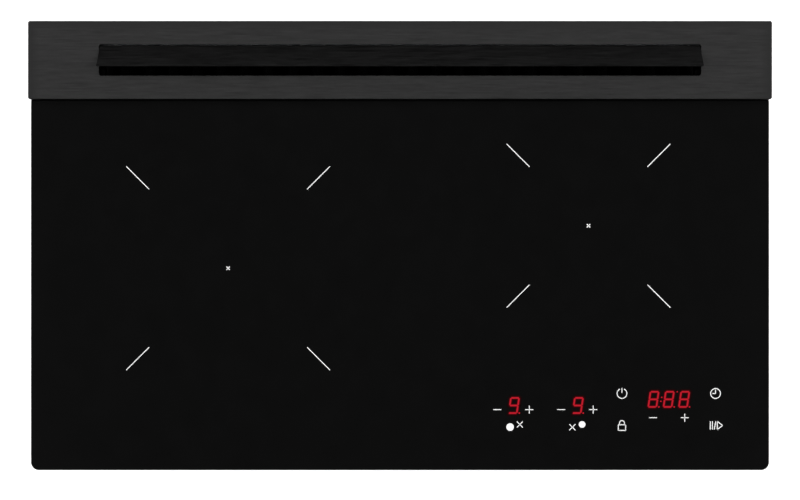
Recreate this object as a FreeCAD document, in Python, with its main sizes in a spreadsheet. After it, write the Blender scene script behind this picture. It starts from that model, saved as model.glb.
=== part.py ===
import FreeCAD, Part
import math
import os
from types import SimpleNamespace

import Sketcher
from FreeCAD import Placement, Rotation, Vector

# A two-zone induction hob with a downdraft extractor behind the glass.
# X runs to the right, Y to the back, Z up. The origin is the middle of the outline on the worktop's surface.

# Driving sizes in millimetres and degrees
SIZES = {
    # glass pane and raised vent strip
    "overall_width": 600.0,
    "glass_depth": 300.0,
    "glass_thickness": 4.0,
    "glass_corner": 6.5,
    "glass_bevel": 0.3,
    "seam_width": 0.7,
    "seam_sink": 1.5,
    "seam_end": 0.2,
    "strip_depth": 63.0,
    "strip_rise": 8.5,
    "strip_sheet": 1.2,
    "strip_corner": 1.6,
    "strip_edge": 0.4,
    "strip_return": 14.0,
    "strip_front_return": 5.0,
    "slot_end": 57.2,
    "slot_depth": 25.3,
    "slot_corner": 2.0,
    "slot_edge": 0.2,
    # hinged flap over the slot
    "flap_gap": 0.5,
    "flap_sheet": 1.2,
    "flap_lip": 4.0,
    "flap_lip_setback": 3.0,
    "flap_end_round": 1.0,
    "flap_open_angle": 37.5,
    "hinge_rod_radius": 1.25,
    "hinge_clearance": 0.05,
    "hinge_curl_wall": 1.25,
    "bracket_gap": 1.0,
    "bracket_plate": 3.0,
    "bracket_margin": 3.0,
    "ledge_reach": 4.0,
    "ledge_depth": 5.0,
    "ledge_height": 2.5,
    "ledge_gap": 0.3,
    # gasket, glue and casing
    "gasket_thickness": 2.0,
    "gasket_width": 8.0,
    "gasket_inset": 3.0,
    "glue_thickness": 0.6,
    "glue_width": 3.0,
    "casing_side_overhang": 22.0,
    "casing_end_overhang": 17.0,
    "casing_depth_below": 52.0,
    "casing_sheet": 1.0,
    "casing_corner": 5.0,
    "casing_flange": 5.0,
    "bead_count": 5.0,
    "bead_pitch": 62.0,
    "bead_width": 14.0,
    "bead_start": -130.0,
    "bead_front": -140.0,
    "bead_back": 20.0,
    "louvre_width": 3.0,
    "louvre_height": 20.0,
    "louvre_pitch": 8.0,
    "louvre_count": 14.0,
    "wall_setback": 5.0,
    "wall_flange": 15.0,
    # cooking zones
    "left_zone_x": -139.7,
    "left_zone_y": -17.4,
    "left_zone_radius": 98.0,
    "left_turns": 8.0,
    "right_zone_x": 153.3,
    "right_zone_y": 16.7,
    "right_zone_radius": 74.0,
    "right_turns": 6.0,
    "winding_inner_radius": 24.0,
    "winding_band": 5.6,
    "winding_height": 3.8,
    "mica_thickness": 1.0,
    "former_thickness": 2.2,
    "former_bore": 8.0,
    "former_rim": 4.0,
    "ferrite_count": 8.0,
    "ferrite_width": 12.0,
    "ferrite_height": 3.5,
    "sensor_radius": 7.0,
    "sensor_flange": 3.0,
    "sensor_flange_thickness": 1.5,
    "pad_radius": 5.0,
    "pad_count": 4.0,
    "carrier_drop": 14.5,
    "carrier_sheet": 1.5,
    "carrier_margin": 8.0,
    "carrier_window": 30.0,
    "post_radius": 4.0,
    "post_inset": 15.0,
    # power electronics and cooling
    "board_gap": 5.0,
    "board_right_gap": 87.0,
    "board_front": -138.0,
    "board_back": 8.0,
    "board_thickness": 1.6,
    "spacer_height": 4.0,
    "spacer_radius": 3.0,
    "spacer_inset": 8.0,
    "sink_length": 170.0,
    "sink_width": 56.0,
    "sink_height": 24.0,
    "sink_base": 5.0,
    "sink_fins": 10.0,
    "sink_fin_width": 2.0,
    "transistor_width": 16.0,
    "transistor_height": 20.0,
    "transistor_thickness": 5.0,
    "transistor_pitch": 36.0,
    "transistor_count": 4.0,
    "capacitor_length": 32.0,
    "capacitor_width": 18.0,
    "capacitor_height": 24.0,
    "capacitor_pitch": 40.0,
    "capacitor_count": 3.0,
    "choke_radius": 20.0,
    "choke_bore": 10.0,
    "choke_height": 14.0,
    "fan_side_gap": 29.0,
    "fan_y": -30.0,
    "fan_size": 80.0,
    "fan_height": 25.0,
    "fan_bore": 38.0,
    "fan_hub": 18.0,
    "fan_hub_height": 18.0,
    "fan_cup_gap": 1.0,
    "fan_tip_gap": 1.5,
    "fan_pin": 2.0,
    "fan_blades": 7.0,
    "fan_blade_thickness": 1.4,
    "fan_blade_chord": 13.0,
    "fan_strut": 4.0,
    "grille_bar": 4.0,
    "grille_slots": 9.0,
    # touch unit behind the symbols
    "touch_side_gap": 7.0,
    "touch_front_gap": 3.85,
    "touch_width": 206.0,
    "touch_depth": 52.0,
    "touch_wall": 1.5,
    "touch_carrier_height": 6.5,
    "touch_board_thickness": 1.6,
    "touch_pad_radius": 3.5,
    "key_inset": 15.5,
    "key_pitch": 25.8,
    "zone_key_pitch": 52.1,
    "zone_key_row": 27.5,
    "timer_column": 141.2,
    "timer_key_row": 20.8,
    "power_column": 116.2,
    "clock_column": 192.6,
    "lower_key_row": 14.4,
    "upper_key_row": 40.4,
    "digit_width": 12.6,
    "digit_depth": 19.0,
    "digit_height": 6.2,
    "zone_digit_row": 31.0,
    "timer_digit_row": 36.0,
    # mains connection
    "gland_side_gap": 42.0,
    "gland_front_gap": 33.85,
    "gland_bore": 5.5,
    "gland_thread": 9.8,
    "gland_nut": 13.0,
    "gland_nut_height": 5.0,
    "gland_body": 12.0,
    "gland_length": 18.0,
    "gland_clearance": 0.3,
    "terminal_length": 60.0,
    "terminal_width": 26.0,
    "terminal_height": 20.0,
    "terminal_poles": 5.0,
    # clamps under the worktop
    "clamp_length": 44.0,
    "clamp_width": 18.0,
    "clamp_thickness": 2.0,
    "clamp_overlap": 18.0,
    "clamp_y": 100.0,
    "clamp_bolt_radius": 2.5,
    "clamp_bolt_length": 32.0,
    "clamp_foot_radius": 6.0,
    "clamp_foot_height": 4.0,
    "clamp_screw_radius": 2.0,
    "screw_clearance": 0.3,
    "screw_head_height": 2.0,
    # air plenum under the slot
    "plenum_gap": 1.0,
    "plenum_wall": 1.5,
    "plenum_side_gap": 27.0,
    "plenum_shoulder": 66.0,
    "plenum_throat": 135.0,
    "plenum_bottom": 205.0,
    "throat_half_width": 66.0,
    "plenum_tab": 16.0,
    "rib_count": 5.0,
    "rib_pitch": 33.0,
    "rib_width": 2.0,
    "rib_height": 3.0,
    "rib_margin": 6.0,
    "drain_radius": 9.0,
    # grease filter
    "filter_end_gap": 10.0,
    "filter_thickness": 20.0,
    "filter_height": 58.0,
    "filter_sheet": 1.0,
    "filter_below_worktop": 2.0,
    "filter_pleats": 24.0,
    "filter_mesh_band": 2.4,
    "filter_ledge": 12.0,
    # blower
    "blower_x": -25.0,
    "blower_gap": 2.0,
    "scroll_radius": 73.0,
    "scroll_growth": 10.0,
    "scroll_wall": 2.0,
    "scroll_depth": 80.0,
    "scroll_cover": 2.0,
    "boss_radius": 34.0,
    "boss_ribs": 8.0,
    "rib_reach": 66.0,
    "scroll_tongue": 24.0,
    "scroll_outlet": 22.0,
    "inlet_radius": 50.0,
    "inlet_tube": 1.5,
    "inlet_flange": 7.0,
    "inlet_clearance": 0.5,
    "inlet_reach": 8.0,
    "wheel_radius": 65.0,
    "wheel_inner_radius": 52.0,
    "wheel_plate": 2.0,
    "wheel_ring": 4.0,
    "wheel_front_gap": 6.0,
    "wheel_inlet_gap": 1.5,
    "blade_count": 36.0,
    "blade_sweep": 8.0,
    "blade_thick_angle": 1.1,
    "blade_curve": 11.0,
    "motor_radius": 25.0,
    "motor_length": 26.0,
    "motor_flange": 36.0,
    "motor_flange_thickness": 2.5,
    "rotor_gap": 1.0,
    "rotor_wall": 3.0,
    "rotor_length": 30.0,
    "shaft_radius": 4.0,
    "shaft_clearance": 0.05,
    "screw_post_radius": 4.5,
    # outlet and damper
    "adapter_length": 36.0,
    "adapter_flange": 5.0,
    "adapter_flange_thickness": 3.0,
    "collar_radius": 61.5,
    "collar_wall": 2.0,
    "collar_length": 59.0,
    "collar_back_gap": 2.0,
    "damper_radius": 58.2,
    "damper_thickness": 1.5,
    "damper_lift": 10.0,
    "damper_setback": 22.0,
    "damper_axle": 2.0,
    "damper_clearance": 0.05,
    "damper_stop": 4.0,
    # drip tray under the plenum
    "tray_height": 22.0,
    "tray_wall": 1.5,
    "tray_rim": 2.5,
    "tray_clearance": 0.6,
    "runner_sheet": 1.2,
    "tray_grip": 8.0,
}

doc = FreeCAD.newDocument("induction_hob")
sheet = doc.addObject("Spreadsheet::Sheet", "sizes")
for row, (alias, amount) in enumerate(SIZES.items(), 1):
    sheet.set(f"A{row}", alias)
    sheet.set(f"B{row}", str(amount))
    sheet.setAlias(f"B{row}", alias)
doc.recompute()


class Length:
    """A size that carries its value and the sheet expression it comes from."""

    def __init__(self, text, value):
        self.text = text
        self.value = float(value)

    def __add__(self, other):
        other = as_length(other)
        return Length(f"({self.text} + {other.text})", self.value + other.value)

    def __sub__(self, other):
        other = as_length(other)
        return Length(f"({self.text} - {other.text})", self.value - other.value)

    def __mul__(self, other):
        other = as_length(other)
        return Length(f"({self.text} * {other.text})", self.value * other.value)

    def __truediv__(self, other):
        other = as_length(other)
        return Length(f"({self.text} / {other.text})", self.value / other.value)

    def __rsub__(self, other):
        return as_length(other) - self

    def __neg__(self):
        return Length(f"(0 - {self.text})", -self.value)

    __radd__ = __add__
    __rmul__ = __mul__


def as_length(amount):
    """A plain number as a Length; a Length stays as it is."""
    return amount if isinstance(amount, Length) else Length(repr(float(amount)), amount)


def root(square):
    """Square root of an area, as a Length."""
    return Length(f"sqrt({square.text})", math.sqrt(square.value))


def polar(radius, angle):
    """A point at a radius and an angle in degrees."""
    angle = as_length(angle)
    turn = math.radians(angle.value)
    return (Length(f"({radius.text} * cos({angle.text} * 1 deg))", radius.value * math.cos(turn)),
            Length(f"({radius.text} * sin({angle.text} * 1 deg))", radius.value * math.sin(turn)))


S = SimpleNamespace(**{alias: Length(f"sizes.{alias}", float(sheet.get(alias))) for alias in SIZES})

SUBPARTS = []
UPRIGHT = Rotation()
ALONG = {
    "x": Rotation(Vector(0, 1, 0), 90),
    "y": Rotation(Vector(1, 0, 0), -90),
    "z": UPRIGHT,
}


# Helpers for solids tied to the sheet

def bind(item, prop, length):
    """Ties one property to the sheet."""
    item.setExpression(prop, as_length(length).text)


def place(item, point, turn=UPRIGHT):
    """Puts an object at a point tied to the sheet."""
    item.Placement = Placement(Vector(*[as_length(part).value for part in point]), turn)
    for axis, part in zip("xyz", point):
        bind(item, f"Placement.Base.{axis}", part)


def subpart(item, label):
    """Names a finished sub-part and puts it on the list for export."""
    item.Label = label
    SUBPARTS.append(item)
    return item


def block(low, high):
    """A box between two corners."""
    box = doc.addObject("Part::Box", "block")
    for prop, a, b in zip(("Length", "Width", "Height"), low, high):
        bind(box, prop, as_length(b) - a)
    place(box, low)
    return box


def rod(start, radius, length, axis="z"):
    """A cylinder from a point along one axis."""
    cylinder = doc.addObject("Part::Cylinder", "rod")
    bind(cylinder, "Radius", radius)
    bind(cylinder, "Height", length)
    place(cylinder, start, ALONG[axis])
    return cylinder


def hexagon(start, radius, length):
    """An upright hexagonal bar."""
    prism = doc.addObject("Part::Prism", "hexagon")
    prism.Polygon = 6
    bind(prism, "Circumradius", radius)
    bind(prism, "Height", length)
    place(prism, start)
    return prism


def group(items):
    """Separate solids of one kind as one shape."""
    compound = doc.addObject("Part::Compound", "group")
    compound.Links = items
    return compound


def join(*items):
    """Solids fused to one."""
    fuse = doc.addObject("Part::MultiFuse", "join")
    fuse.Shapes = list(items)
    fuse.Refine = True
    return fuse


def cut(base, *tools):
    """A solid with the tools taken away."""
    result = doc.addObject("Part::Cut", "cut")
    result.Base = base
    result.Tool = tools[0] if len(tools) == 1 else group(list(tools))
    return result


# Helpers for bodies made from sketches

def new_body(label):
    """A body for one sub-part."""
    return subpart(doc.addObject("PartDesign::Body", label), label)


def origin_of(body, role):
    """One of a body's own planes or axes."""
    return next(feature for feature in body.Origin.OriginFeatures if feature.Role == role)


def sketch_on(body, plane, at=0.0):
    """A sketch on an XY, XZ or YZ plane at a distance along Z, Y or X."""
    sketch = body.newObject("Sketcher::SketchObject", "outline")
    sketch.AttachmentSupport = [(origin_of(body, f"{plane}_Plane"), "")]
    sketch.MapMode = "FlatFace"
    at = as_length(at)
    bind(sketch, "AttachmentOffset.Base.z", -at if plane == "XZ" else at)
    return sketch


def fix(sketch, geometry, end, point):
    """Ties one point of a sketch to the sheet."""
    for kind, part in zip(("DistanceX", "DistanceY"), point):
        part = as_length(part)
        index = sketch.addConstraint(Sketcher.Constraint(kind, geometry, end, part.value))
        sketch.setExpression(f"Constraints[{index}]", part.text)


def flat(point):
    """A sketch point's present place."""
    return Vector(as_length(point[0]).value, as_length(point[1]).value, 0)


def draw(sketch, steps):
    """A closed outline. A step is a point; (centre, radius, counterclockwise) after it makes a round run."""
    first = sketch.GeometryCount
    steps = [step if len(step) == 3 else (step[0], step[1], None) for step in steps]
    ends = []
    for step, following in zip(steps, steps[1:] + steps[:1]):
        a = flat(step)
        b = flat(following)
        if step[2] is None:
            sketch.addGeometry(Part.LineSegment(a, b), False)
            ends.append((1, 2))
            continue
        centre, radius, counterclockwise = step[2]
        middle = flat(centre)
        if not counterclockwise:
            a, b = b, a
        begin = math.atan2(a.y - middle.y, a.x - middle.x)
        finish = math.atan2(b.y - middle.y, b.x - middle.x)
        if finish <= begin:
            finish += 2 * math.pi
        circle = Part.Circle(middle, Vector(0, 0, 1), as_length(radius).value)
        arc = sketch.addGeometry(Part.ArcOfCircle(circle, begin, finish), False)
        index = sketch.addConstraint(Sketcher.Constraint("Radius", arc, as_length(radius).value))
        sketch.setExpression(f"Constraints[{index}]", as_length(radius).text)
        ends.append((1, 2) if counterclockwise else (2, 1))
    for i, step in enumerate(steps):
        following = (i + 1) % len(steps)
        sketch.addConstraint(Sketcher.Constraint(
            "Coincident", first + i, ends[i][1], first + following, ends[following][0]))
        fix(sketch, first + i, ends[i][0], step)


def draw_box(sketch, x0, y0, x1, y1):
    """A rectangle between two corners."""
    draw(sketch, [(x0, y0), (x1, y0), (x1, y1), (x0, y1)])


def draw_rounded(sketch, x, y, corner):
    """A rectangle about the origin with rounded corners, from its half sizes."""
    steps = []
    for across, up, first in ((1, -1, True), (1, 1, False), (-1, 1, True), (-1, -1, False)):
        centre = (across * (x - corner), up * (y - corner))
        level = (centre[0], up * y)
        upright = (across * x, centre[1])
        a, b = (level, upright) if first else (upright, level)
        steps += [(*a, (centre, corner, True)), b]
    draw(sketch, steps)


def draw_circle(sketch, centre, radius):
    """A full circle."""
    radius = as_length(radius)
    circle = sketch.addGeometry(Part.Circle(flat(centre), Vector(0, 0, 1), radius.value), False)
    fix(sketch, circle, 3, centre)
    index = sketch.addConstraint(Sketcher.Constraint("Radius", circle, radius.value))
    sketch.setExpression(f"Constraints[{index}]", radius.text)


def round_steps(centre, radius):
    """A circle as four quarter arcs that start at the lower left, to loft from a rectangle's corners."""
    corners = [polar(radius, angle) for angle in (225, 315, 45, 135)]
    return [(centre[0] + x, centre[1] + y, (centre, radius, True)) for x, y in corners]


def pad(body, sketch, length, reverse=False):
    """Material along the sketch's normal; XZ sketches face the front."""
    feature = body.newObject("PartDesign::Pad", "pad")
    feature.Profile = sketch
    feature.Reversed = reverse
    bind(feature, "Length", length)
    return feature


def pocket(body, sketch, length, reverse=False):
    """Material taken away against the sketch's normal, or along it when reversed."""
    feature = body.newObject("PartDesign::Pocket", "pocket")
    feature.Profile = sketch
    feature.Reversed = reverse
    bind(feature, "Length", length)
    return feature


def loft(body, kind, sketches):
    """A straight-sided loft between sketches that have the same number of runs."""
    feature = body.newObject(f"PartDesign::{kind}Loft", "loft")
    feature.Profile = sketches[0]
    feature.Sections = sketches[1:]
    feature.Ruled = True
    return feature


def pattern(body, feature, axis, count):
    """One feature repeated round an axis of the body."""
    polar_pattern = body.newObject("PartDesign::PolarPattern", "pattern")
    polar_pattern.Originals = [feature]
    polar_pattern.Axis = (origin_of(body, f"{axis}_Axis"), [""])
    polar_pattern.Angle = 360
    bind(polar_pattern, "Occurrences", count)
    body.Tip = polar_pattern
    return polar_pattern


def row_of(body, feature, run, count):
    """One feature repeated in a row along X."""
    row_pattern = body.newObject("PartDesign::LinearPattern", "row")
    row_pattern.Originals = [feature]
    row_pattern.Direction = (origin_of(body, "X_Axis"), [""])
    bind(row_pattern, "Length", run)
    bind(row_pattern, "Occurrences", count)
    body.Tip = row_pattern
    return row_pattern


def edges(feature, test):
    """Names of a feature's edges that pass a test."""
    doc.recompute()
    return [f"Edge{i}" for i, edge in enumerate(feature.Shape.Edges, 1) if test(edge)]


def is_upright(edge):
    """True for a straight edge along Z."""
    box = edge.BoundBox
    return box.XLength < 1e-6 and box.YLength < 1e-6


def lies_at(edge, height):
    """True for an edge in the level plane at a height."""
    return abs(edge.BoundBox.ZMin - height.value) < 1e-6 and abs(edge.BoundBox.ZMax - height.value) < 1e-6


def fillet(body, feature, names, radius):
    """Rounded edges."""
    result = body.newObject("PartDesign::Fillet", "fillet")
    result.Base = (feature, names)
    bind(result, "Radius", radius)
    return result


def chamfer(body, feature, names, width):
    """Bevelled edges."""
    result = body.newObject("PartDesign::Chamfer", "chamfer")
    result.Base = (feature, names)
    bind(result, "Size", width)
    return result


# Levels and lines that several pieces share
half_width = S.overall_width / 2
half_depth = (S.glass_depth + S.seam_width + S.strip_depth) / 2
glass_back = S.glass_depth - half_depth
strip_front = glass_back + S.seam_width
glass_bottom = S.gasket_thickness
glass_top = glass_bottom + S.glass_thickness
strip_top = glass_top + S.strip_rise
slot_half = half_width - S.slot_end
slot_front = strip_front + S.strip_depth / 2 - S.slot_depth / 2
slot_back = slot_front + S.slot_depth

curl_radius = S.hinge_rod_radius + S.hinge_clearance + S.hinge_curl_wall
hinge_y = slot_back - S.flap_gap - curl_radius
hinge_z = strip_top - curl_radius
flap_reach = hinge_y - slot_front - S.flap_gap

casing_x = half_width - S.casing_side_overhang
casing_y = half_depth - S.casing_end_overhang
casing_floor = -S.casing_depth_below + S.casing_sheet
flange_top = glass_bottom - S.glue_thickness
inside_x = casing_x - S.casing_sheet
inside_y = casing_y - S.casing_sheet
wall_y = strip_front + S.wall_setback
wall_back = wall_y + S.casing_sheet

carrier_top = glass_bottom - S.carrier_drop
winding_top = glass_bottom - S.mica_thickness
former_top = winding_top - S.winding_height
former_bottom = former_top - S.former_thickness
board_bottom = casing_floor + S.spacer_height
board_top = board_bottom + S.board_thickness
fan_x = S.fan_side_gap + S.fan_size / 2 - inside_x
gland_x = S.gland_side_gap - inside_x
gland_y = S.gland_front_gap - inside_y
terminal_left = gland_x + 2 * S.gland_nut
board_left = terminal_left + S.terminal_length + S.board_gap
board_right = inside_x - S.board_right_gap
touch_right = inside_x - S.touch_side_gap
touch_left = touch_right - S.touch_width
touch_front = S.touch_front_gap - inside_y
touch_back = touch_front + S.touch_depth

plenum_half = inside_x - S.plenum_side_gap
plenum_front = wall_back + S.plenum_gap
plenum_back = inside_y - S.plenum_gap
filter_half = plenum_half - S.filter_end_gap
filter_y = (slot_front + hinge_y - curl_radius) / 2
filter_bottom = -S.filter_below_worktop - S.filter_height

blower_z = -S.casing_depth_below - S.blower_gap - S.scroll_wall - S.scroll_radius
scroll_back = plenum_front
scroll_front = scroll_back - S.scroll_depth
cover_back = scroll_front + S.scroll_cover
scroll_left = S.blower_x - S.scroll_radius - S.scroll_growth
scroll_bottom = blower_z - S.scroll_radius - 3 * S.scroll_growth
tongue_x = S.blower_x + S.scroll_radius
tongue_z = blower_z - S.scroll_tongue
outlet_x = tongue_x + S.scroll_outlet
inlet_hole = S.inlet_radius + S.inlet_tube + S.inlet_clearance

collar_x = outlet_x + S.adapter_length
collar_y = scroll_back - S.collar_back_gap - S.collar_radius
collar_z = (scroll_bottom + tongue_z) / 2
damper_x = collar_x + S.damper_setback
damper_z = collar_z + S.damper_lift


# Top of the hob

def make_glass():
    """Black glass pane with rounded front corners and a polished bevel."""
    body = new_body("glass_ceramic_plate")
    sketch = sketch_on(body, "XY", glass_bottom)
    draw_box(sketch, -half_width, -half_depth, half_width, glass_back)
    slab = pad(body, sketch, S.glass_thickness)
    corners = edges(slab, lambda edge: is_upright(edge) and edge.CenterOfMass.y < 0)
    rounded = fillet(body, slab, corners, S.glass_corner)
    behind = glass_back.value - S.glass_bevel.value
    rim = edges(rounded, lambda edge: lies_at(edge, glass_top) and edge.CenterOfMass.y < behind)
    chamfer(body, rounded, rim, S.glass_bevel)


def make_seam_seal():
    """Silicone seam between the glass and the strip, sunk below the glass."""
    seal = block((-half_width + S.seam_end, glass_back, glass_bottom),
                 (half_width - S.seam_end, strip_front, glass_top - S.seam_sink))
    subpart(seal, "seam_seal")


def make_vent_strip():
    """Folded steel cover with returns under its walls and a long air slot."""
    body = new_body("vent_strip_cover")
    base = sketch_on(body, "XY", glass_bottom)
    draw_box(base, -half_width, strip_front, half_width, half_depth)
    slab = pad(body, base, strip_top - glass_bottom)
    corners = fillet(body, slab, edges(slab, is_upright), S.strip_corner)
    fillet(body, corners, edges(corners, lambda edge: lies_at(edge, strip_top)), S.strip_edge)
    hollow = sketch_on(body, "XY", glass_bottom + S.strip_sheet)
    draw_box(hollow, -half_width + S.strip_sheet, strip_front + S.strip_sheet,
             half_width - S.strip_sheet, half_depth - S.strip_sheet)
    pocket(body, hollow, strip_top - glass_bottom - 2 * S.strip_sheet, reverse=True)
    opening = sketch_on(body, "XY", glass_bottom)
    draw_box(opening, -half_width + S.strip_return, strip_front + S.strip_front_return,
             half_width - S.strip_return, half_depth - S.strip_return)
    pocket(body, opening, 2 * S.strip_sheet, reverse=True)
    slot = sketch_on(body, "XY", strip_top)
    draw_box(slot, -slot_half, slot_front, slot_half, slot_back)
    slotted = pocket(body, slot, 2 * S.strip_sheet)
    sheet_bottom = strip_top.value - S.strip_sheet.value
    inner = edges(slotted, lambda edge: is_upright(edge) and edge.CenterOfMass.z > sheet_bottom
                  and abs(abs(edge.CenterOfMass.x) - slot_half.value) < 1e-6)
    slot_rounded = fillet(body, slotted, inner, S.slot_corner)
    reach = slot_half.value + 1e-6
    lip = edges(slot_rounded, lambda edge: lies_at(edge, strip_top) and edge.BoundBox.XMax < reach
                and edge.BoundBox.XMin > -reach and edge.CenterOfMass.y > slot_front.value - 1e-6
                and edge.CenterOfMass.y < slot_back.value + 1e-6)
    fillet(body, slot_rounded, lip, S.slot_edge)


def make_flap():
    """Flap leaf with a stiffening lip under its front edge, seated in a rebate along its hinge tube."""
    length = 2 * (slot_half - S.flap_gap)
    start = -length / 2
    lip_front = -flap_reach + S.flap_lip_setback
    lip_back = lip_front + S.flap_sheet
    underside = curl_radius - S.flap_sheet
    lip_bottom = curl_radius - S.flap_lip
    leaf = new_body("vent_flap")
    profile = sketch_on(leaf, "YZ", start)
    draw(profile, [(as_length(0), curl_radius), (-flap_reach, curl_radius), (-flap_reach, underside),
                   (lip_front, underside), (lip_front, lip_bottom), (lip_back, lip_bottom),
                   (lip_back, underside), (as_length(0), underside)])
    plate = pad(leaf, profile, length)
    front = edges(plate, lambda edge: is_upright(edge) and edge.CenterOfMass.z > underside.value
                  and edge.CenterOfMass.y < lip_front.value)
    cornered = fillet(leaf, plate, front, S.slot_corner - 2 * S.flap_gap)
    ends = edges(cornered, lambda edge: lies_at(edge, curl_radius) and edge.CenterOfMass.y < 0
                 and edge.BoundBox.XLength < flap_reach.value)
    fillet(leaf, cornered, ends, S.flap_end_round)

    tube = new_body("flap_hinge_tube")
    rebate = root(curl_radius * curl_radius - underside * underside)
    section = sketch_on(tube, "YZ", start + S.flap_gap)
    draw(section, [(0, underside), (0, curl_radius, ((0, 0), curl_radius, False)), (-rebate, underside)])
    draw_circle(section, (0, 0), S.hinge_rod_radius + S.hinge_clearance)
    pad(tube, section, length - 2 * S.flap_gap)
    for piece in (leaf, tube):
        place(piece, (0, hinge_y, hinge_z), Rotation(Vector(-1, 0, 0), S.flap_open_angle.value))
        bind(piece, "Placement.Rotation.Angle", S.flap_open_angle)


def make_hinge():
    """Hinge rod and the two brackets that hold it, each with a ledge the shut flap rests on."""
    outer = slot_half + S.bracket_gap + S.bracket_plate
    subpart(rod((-outer, hinge_y, hinge_z), S.hinge_rod_radius, 2 * outer, "x"), "flap_hinge_rod")
    ceiling = strip_top - S.strip_sheet
    ledge_top = strip_top - S.flap_lip - S.ledge_gap
    ledge_bottom = ledge_top - S.ledge_height
    ledge_front = slot_front + S.flap_gap
    ledge_back = ledge_front + S.ledge_depth
    bracket_back = hinge_y + curl_radius + S.bracket_margin
    bore_radius = S.hinge_rod_radius + S.hinge_clearance
    brackets = []
    for side in (-1, 1):
        near, far = slot_half + S.bracket_gap, outer
        tip = slot_half - S.ledge_reach
        low, high = (near, far) if side > 0 else (-far, -near)
        plate = block((low, ledge_front, ledge_bottom), (high, bracket_back, ceiling))
        ledge_low, ledge_high = (tip, far) if side > 0 else (-far, -tip)
        ledge = block((ledge_low, ledge_front, ledge_bottom), (ledge_high, ledge_back, ledge_top))
        bore = rod((low - 1, hinge_y, hinge_z), bore_radius, S.bracket_plate + 2, "x")
        brackets.append(cut(join(plate, ledge), bore))
    subpart(group(brackets), "flap_brackets")


def make_gasket():
    """Foam ring between the hob and the worktop."""
    body = new_body("worktop_gasket")
    ring = sketch_on(body, "XY")
    out_x = half_width - S.gasket_inset
    out_y = half_depth - S.gasket_inset
    draw_box(ring, -out_x, -out_y, out_x, out_y)
    in_x = out_x - S.gasket_width
    in_y = out_y - S.gasket_width
    draw_box(ring, -in_x, -in_y, in_x, in_y)
    pad(body, ring, S.gasket_thickness)


def make_glue():
    """Adhesive beads that hold the glass and the strip on the casing's flanges."""
    out_x = casing_x + S.casing_flange
    out_y = casing_y + S.casing_flange
    in_x = out_x - S.glue_width
    in_y = out_y - S.glue_width
    rest = wall_y - S.wall_flange
    beads = [
        block((-out_x, -out_y, flange_top), (out_x, -in_y, glass_bottom)),
        block((-out_x, -in_y, flange_top), (-in_x, glass_back, glass_bottom)),
        block((in_x, -in_y, flange_top), (out_x, glass_back, glass_bottom)),
        block((-inside_x, rest, flange_top), (inside_x, rest + S.glue_width, glass_bottom)),
        block((-out_x, in_y, flange_top), (out_x, out_y, glass_bottom)),
        block((-out_x, strip_front, flange_top), (-in_x, in_y, glass_bottom)),
        block((in_x, strip_front, flange_top), (out_x, in_y, glass_bottom)),
    ]
    subpart(group(beads), "adhesive_beads")


# Casing

def make_casing():
    """Casing of folded steel: walls with a flange and air louvres, on a ribbed floor with its openings."""
    walls = new_body("casing_walls")
    ring = sketch_on(walls, "XY", casing_floor)
    draw_rounded(ring, casing_x, casing_y, S.casing_corner)
    draw_rounded(ring, inside_x, inside_y, S.casing_corner - S.casing_sheet)
    pad(walls, ring, flange_top - casing_floor)
    rim = sketch_on(walls, "XY", flange_top - S.casing_sheet)
    flange = S.casing_flange
    draw_rounded(rim, casing_x + flange, casing_y + flange, S.casing_corner + flange)
    draw_rounded(rim, inside_x, inside_y, S.casing_corner - S.casing_sheet)
    pad(walls, rim, S.casing_sheet)
    louvres = sketch_on(walls, "XZ", -casing_y)
    middle = -S.casing_depth_below / 2
    run = S.louvre_pitch * (S.louvre_count - 1)
    for side in (-1, 1):
        x = side * casing_x / 2 - run / 2
        draw_box(louvres, x - S.louvre_width / 2, middle - S.louvre_height / 2,
                 x + S.louvre_width / 2, middle + S.louvre_height / 2)
    slots = pocket(walls, louvres, 2 * S.casing_sheet)
    row_of(walls, slots, run, S.louvre_count)

    body = new_body("bottom_casing")
    plate = sketch_on(body, "XY", -S.casing_depth_below)
    draw_rounded(plate, casing_x, casing_y, S.casing_corner)
    pad(body, plate, S.casing_sheet)
    bead = sketch_on(body, "XY", -S.casing_depth_below)
    bead_left = S.bead_start - S.bead_width / 2
    draw_box(bead, bead_left, S.bead_front, bead_left + S.bead_width, S.bead_back)
    ridge = pad(body, bead, S.casing_sheet, reverse=True)
    row_of(body, ridge, S.bead_pitch * (S.bead_count - 1), S.bead_count)

    floor = sketch_on(body, "XY", -S.casing_depth_below)
    plenum_x = plenum_half + S.plenum_gap / 2
    draw_box(floor, -plenum_x, plenum_front - S.plenum_gap / 2, plenum_x, plenum_back + S.plenum_gap / 2)
    draw_circle(floor, (gland_x, gland_y), S.gland_thread + S.gland_clearance)
    pitch = 2 * S.fan_bore / S.grille_slots
    for i in range(int(S.grille_slots.value)):
        offset = pitch * (i + 0.5) - S.fan_bore
        reach = root(S.fan_bore * S.fan_bore - offset * offset)
        gap = (pitch - S.grille_bar) / 2
        draw_box(floor, fan_x - reach, S.fan_y + offset - gap, fan_x + reach, S.fan_y + offset + gap)
    for x, y in clamp_screw_places():
        draw_circle(floor, (x, y), S.clamp_screw_radius + S.screw_clearance)
    for x, y in plenum_screw_places():
        draw_circle(floor, (x, y), S.clamp_screw_radius + S.screw_clearance)
    pocket(body, floor, 2 * S.casing_sheet, reverse=True)


def make_compartment_wall():
    """Wall between the electronics and the air path, folded over to carry the back of the glass."""
    body = new_body("compartment_wall")
    profile = sketch_on(body, "YZ", -inside_x)
    fold = flange_top - S.casing_sheet
    draw(profile, [(wall_y - S.wall_flange, flange_top), (wall_y - S.wall_flange, fold), (wall_y, fold),
                   (wall_y, casing_floor), (wall_back, casing_floor), (wall_back, flange_top)])
    pad(body, profile, 2 * inside_x)


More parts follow.
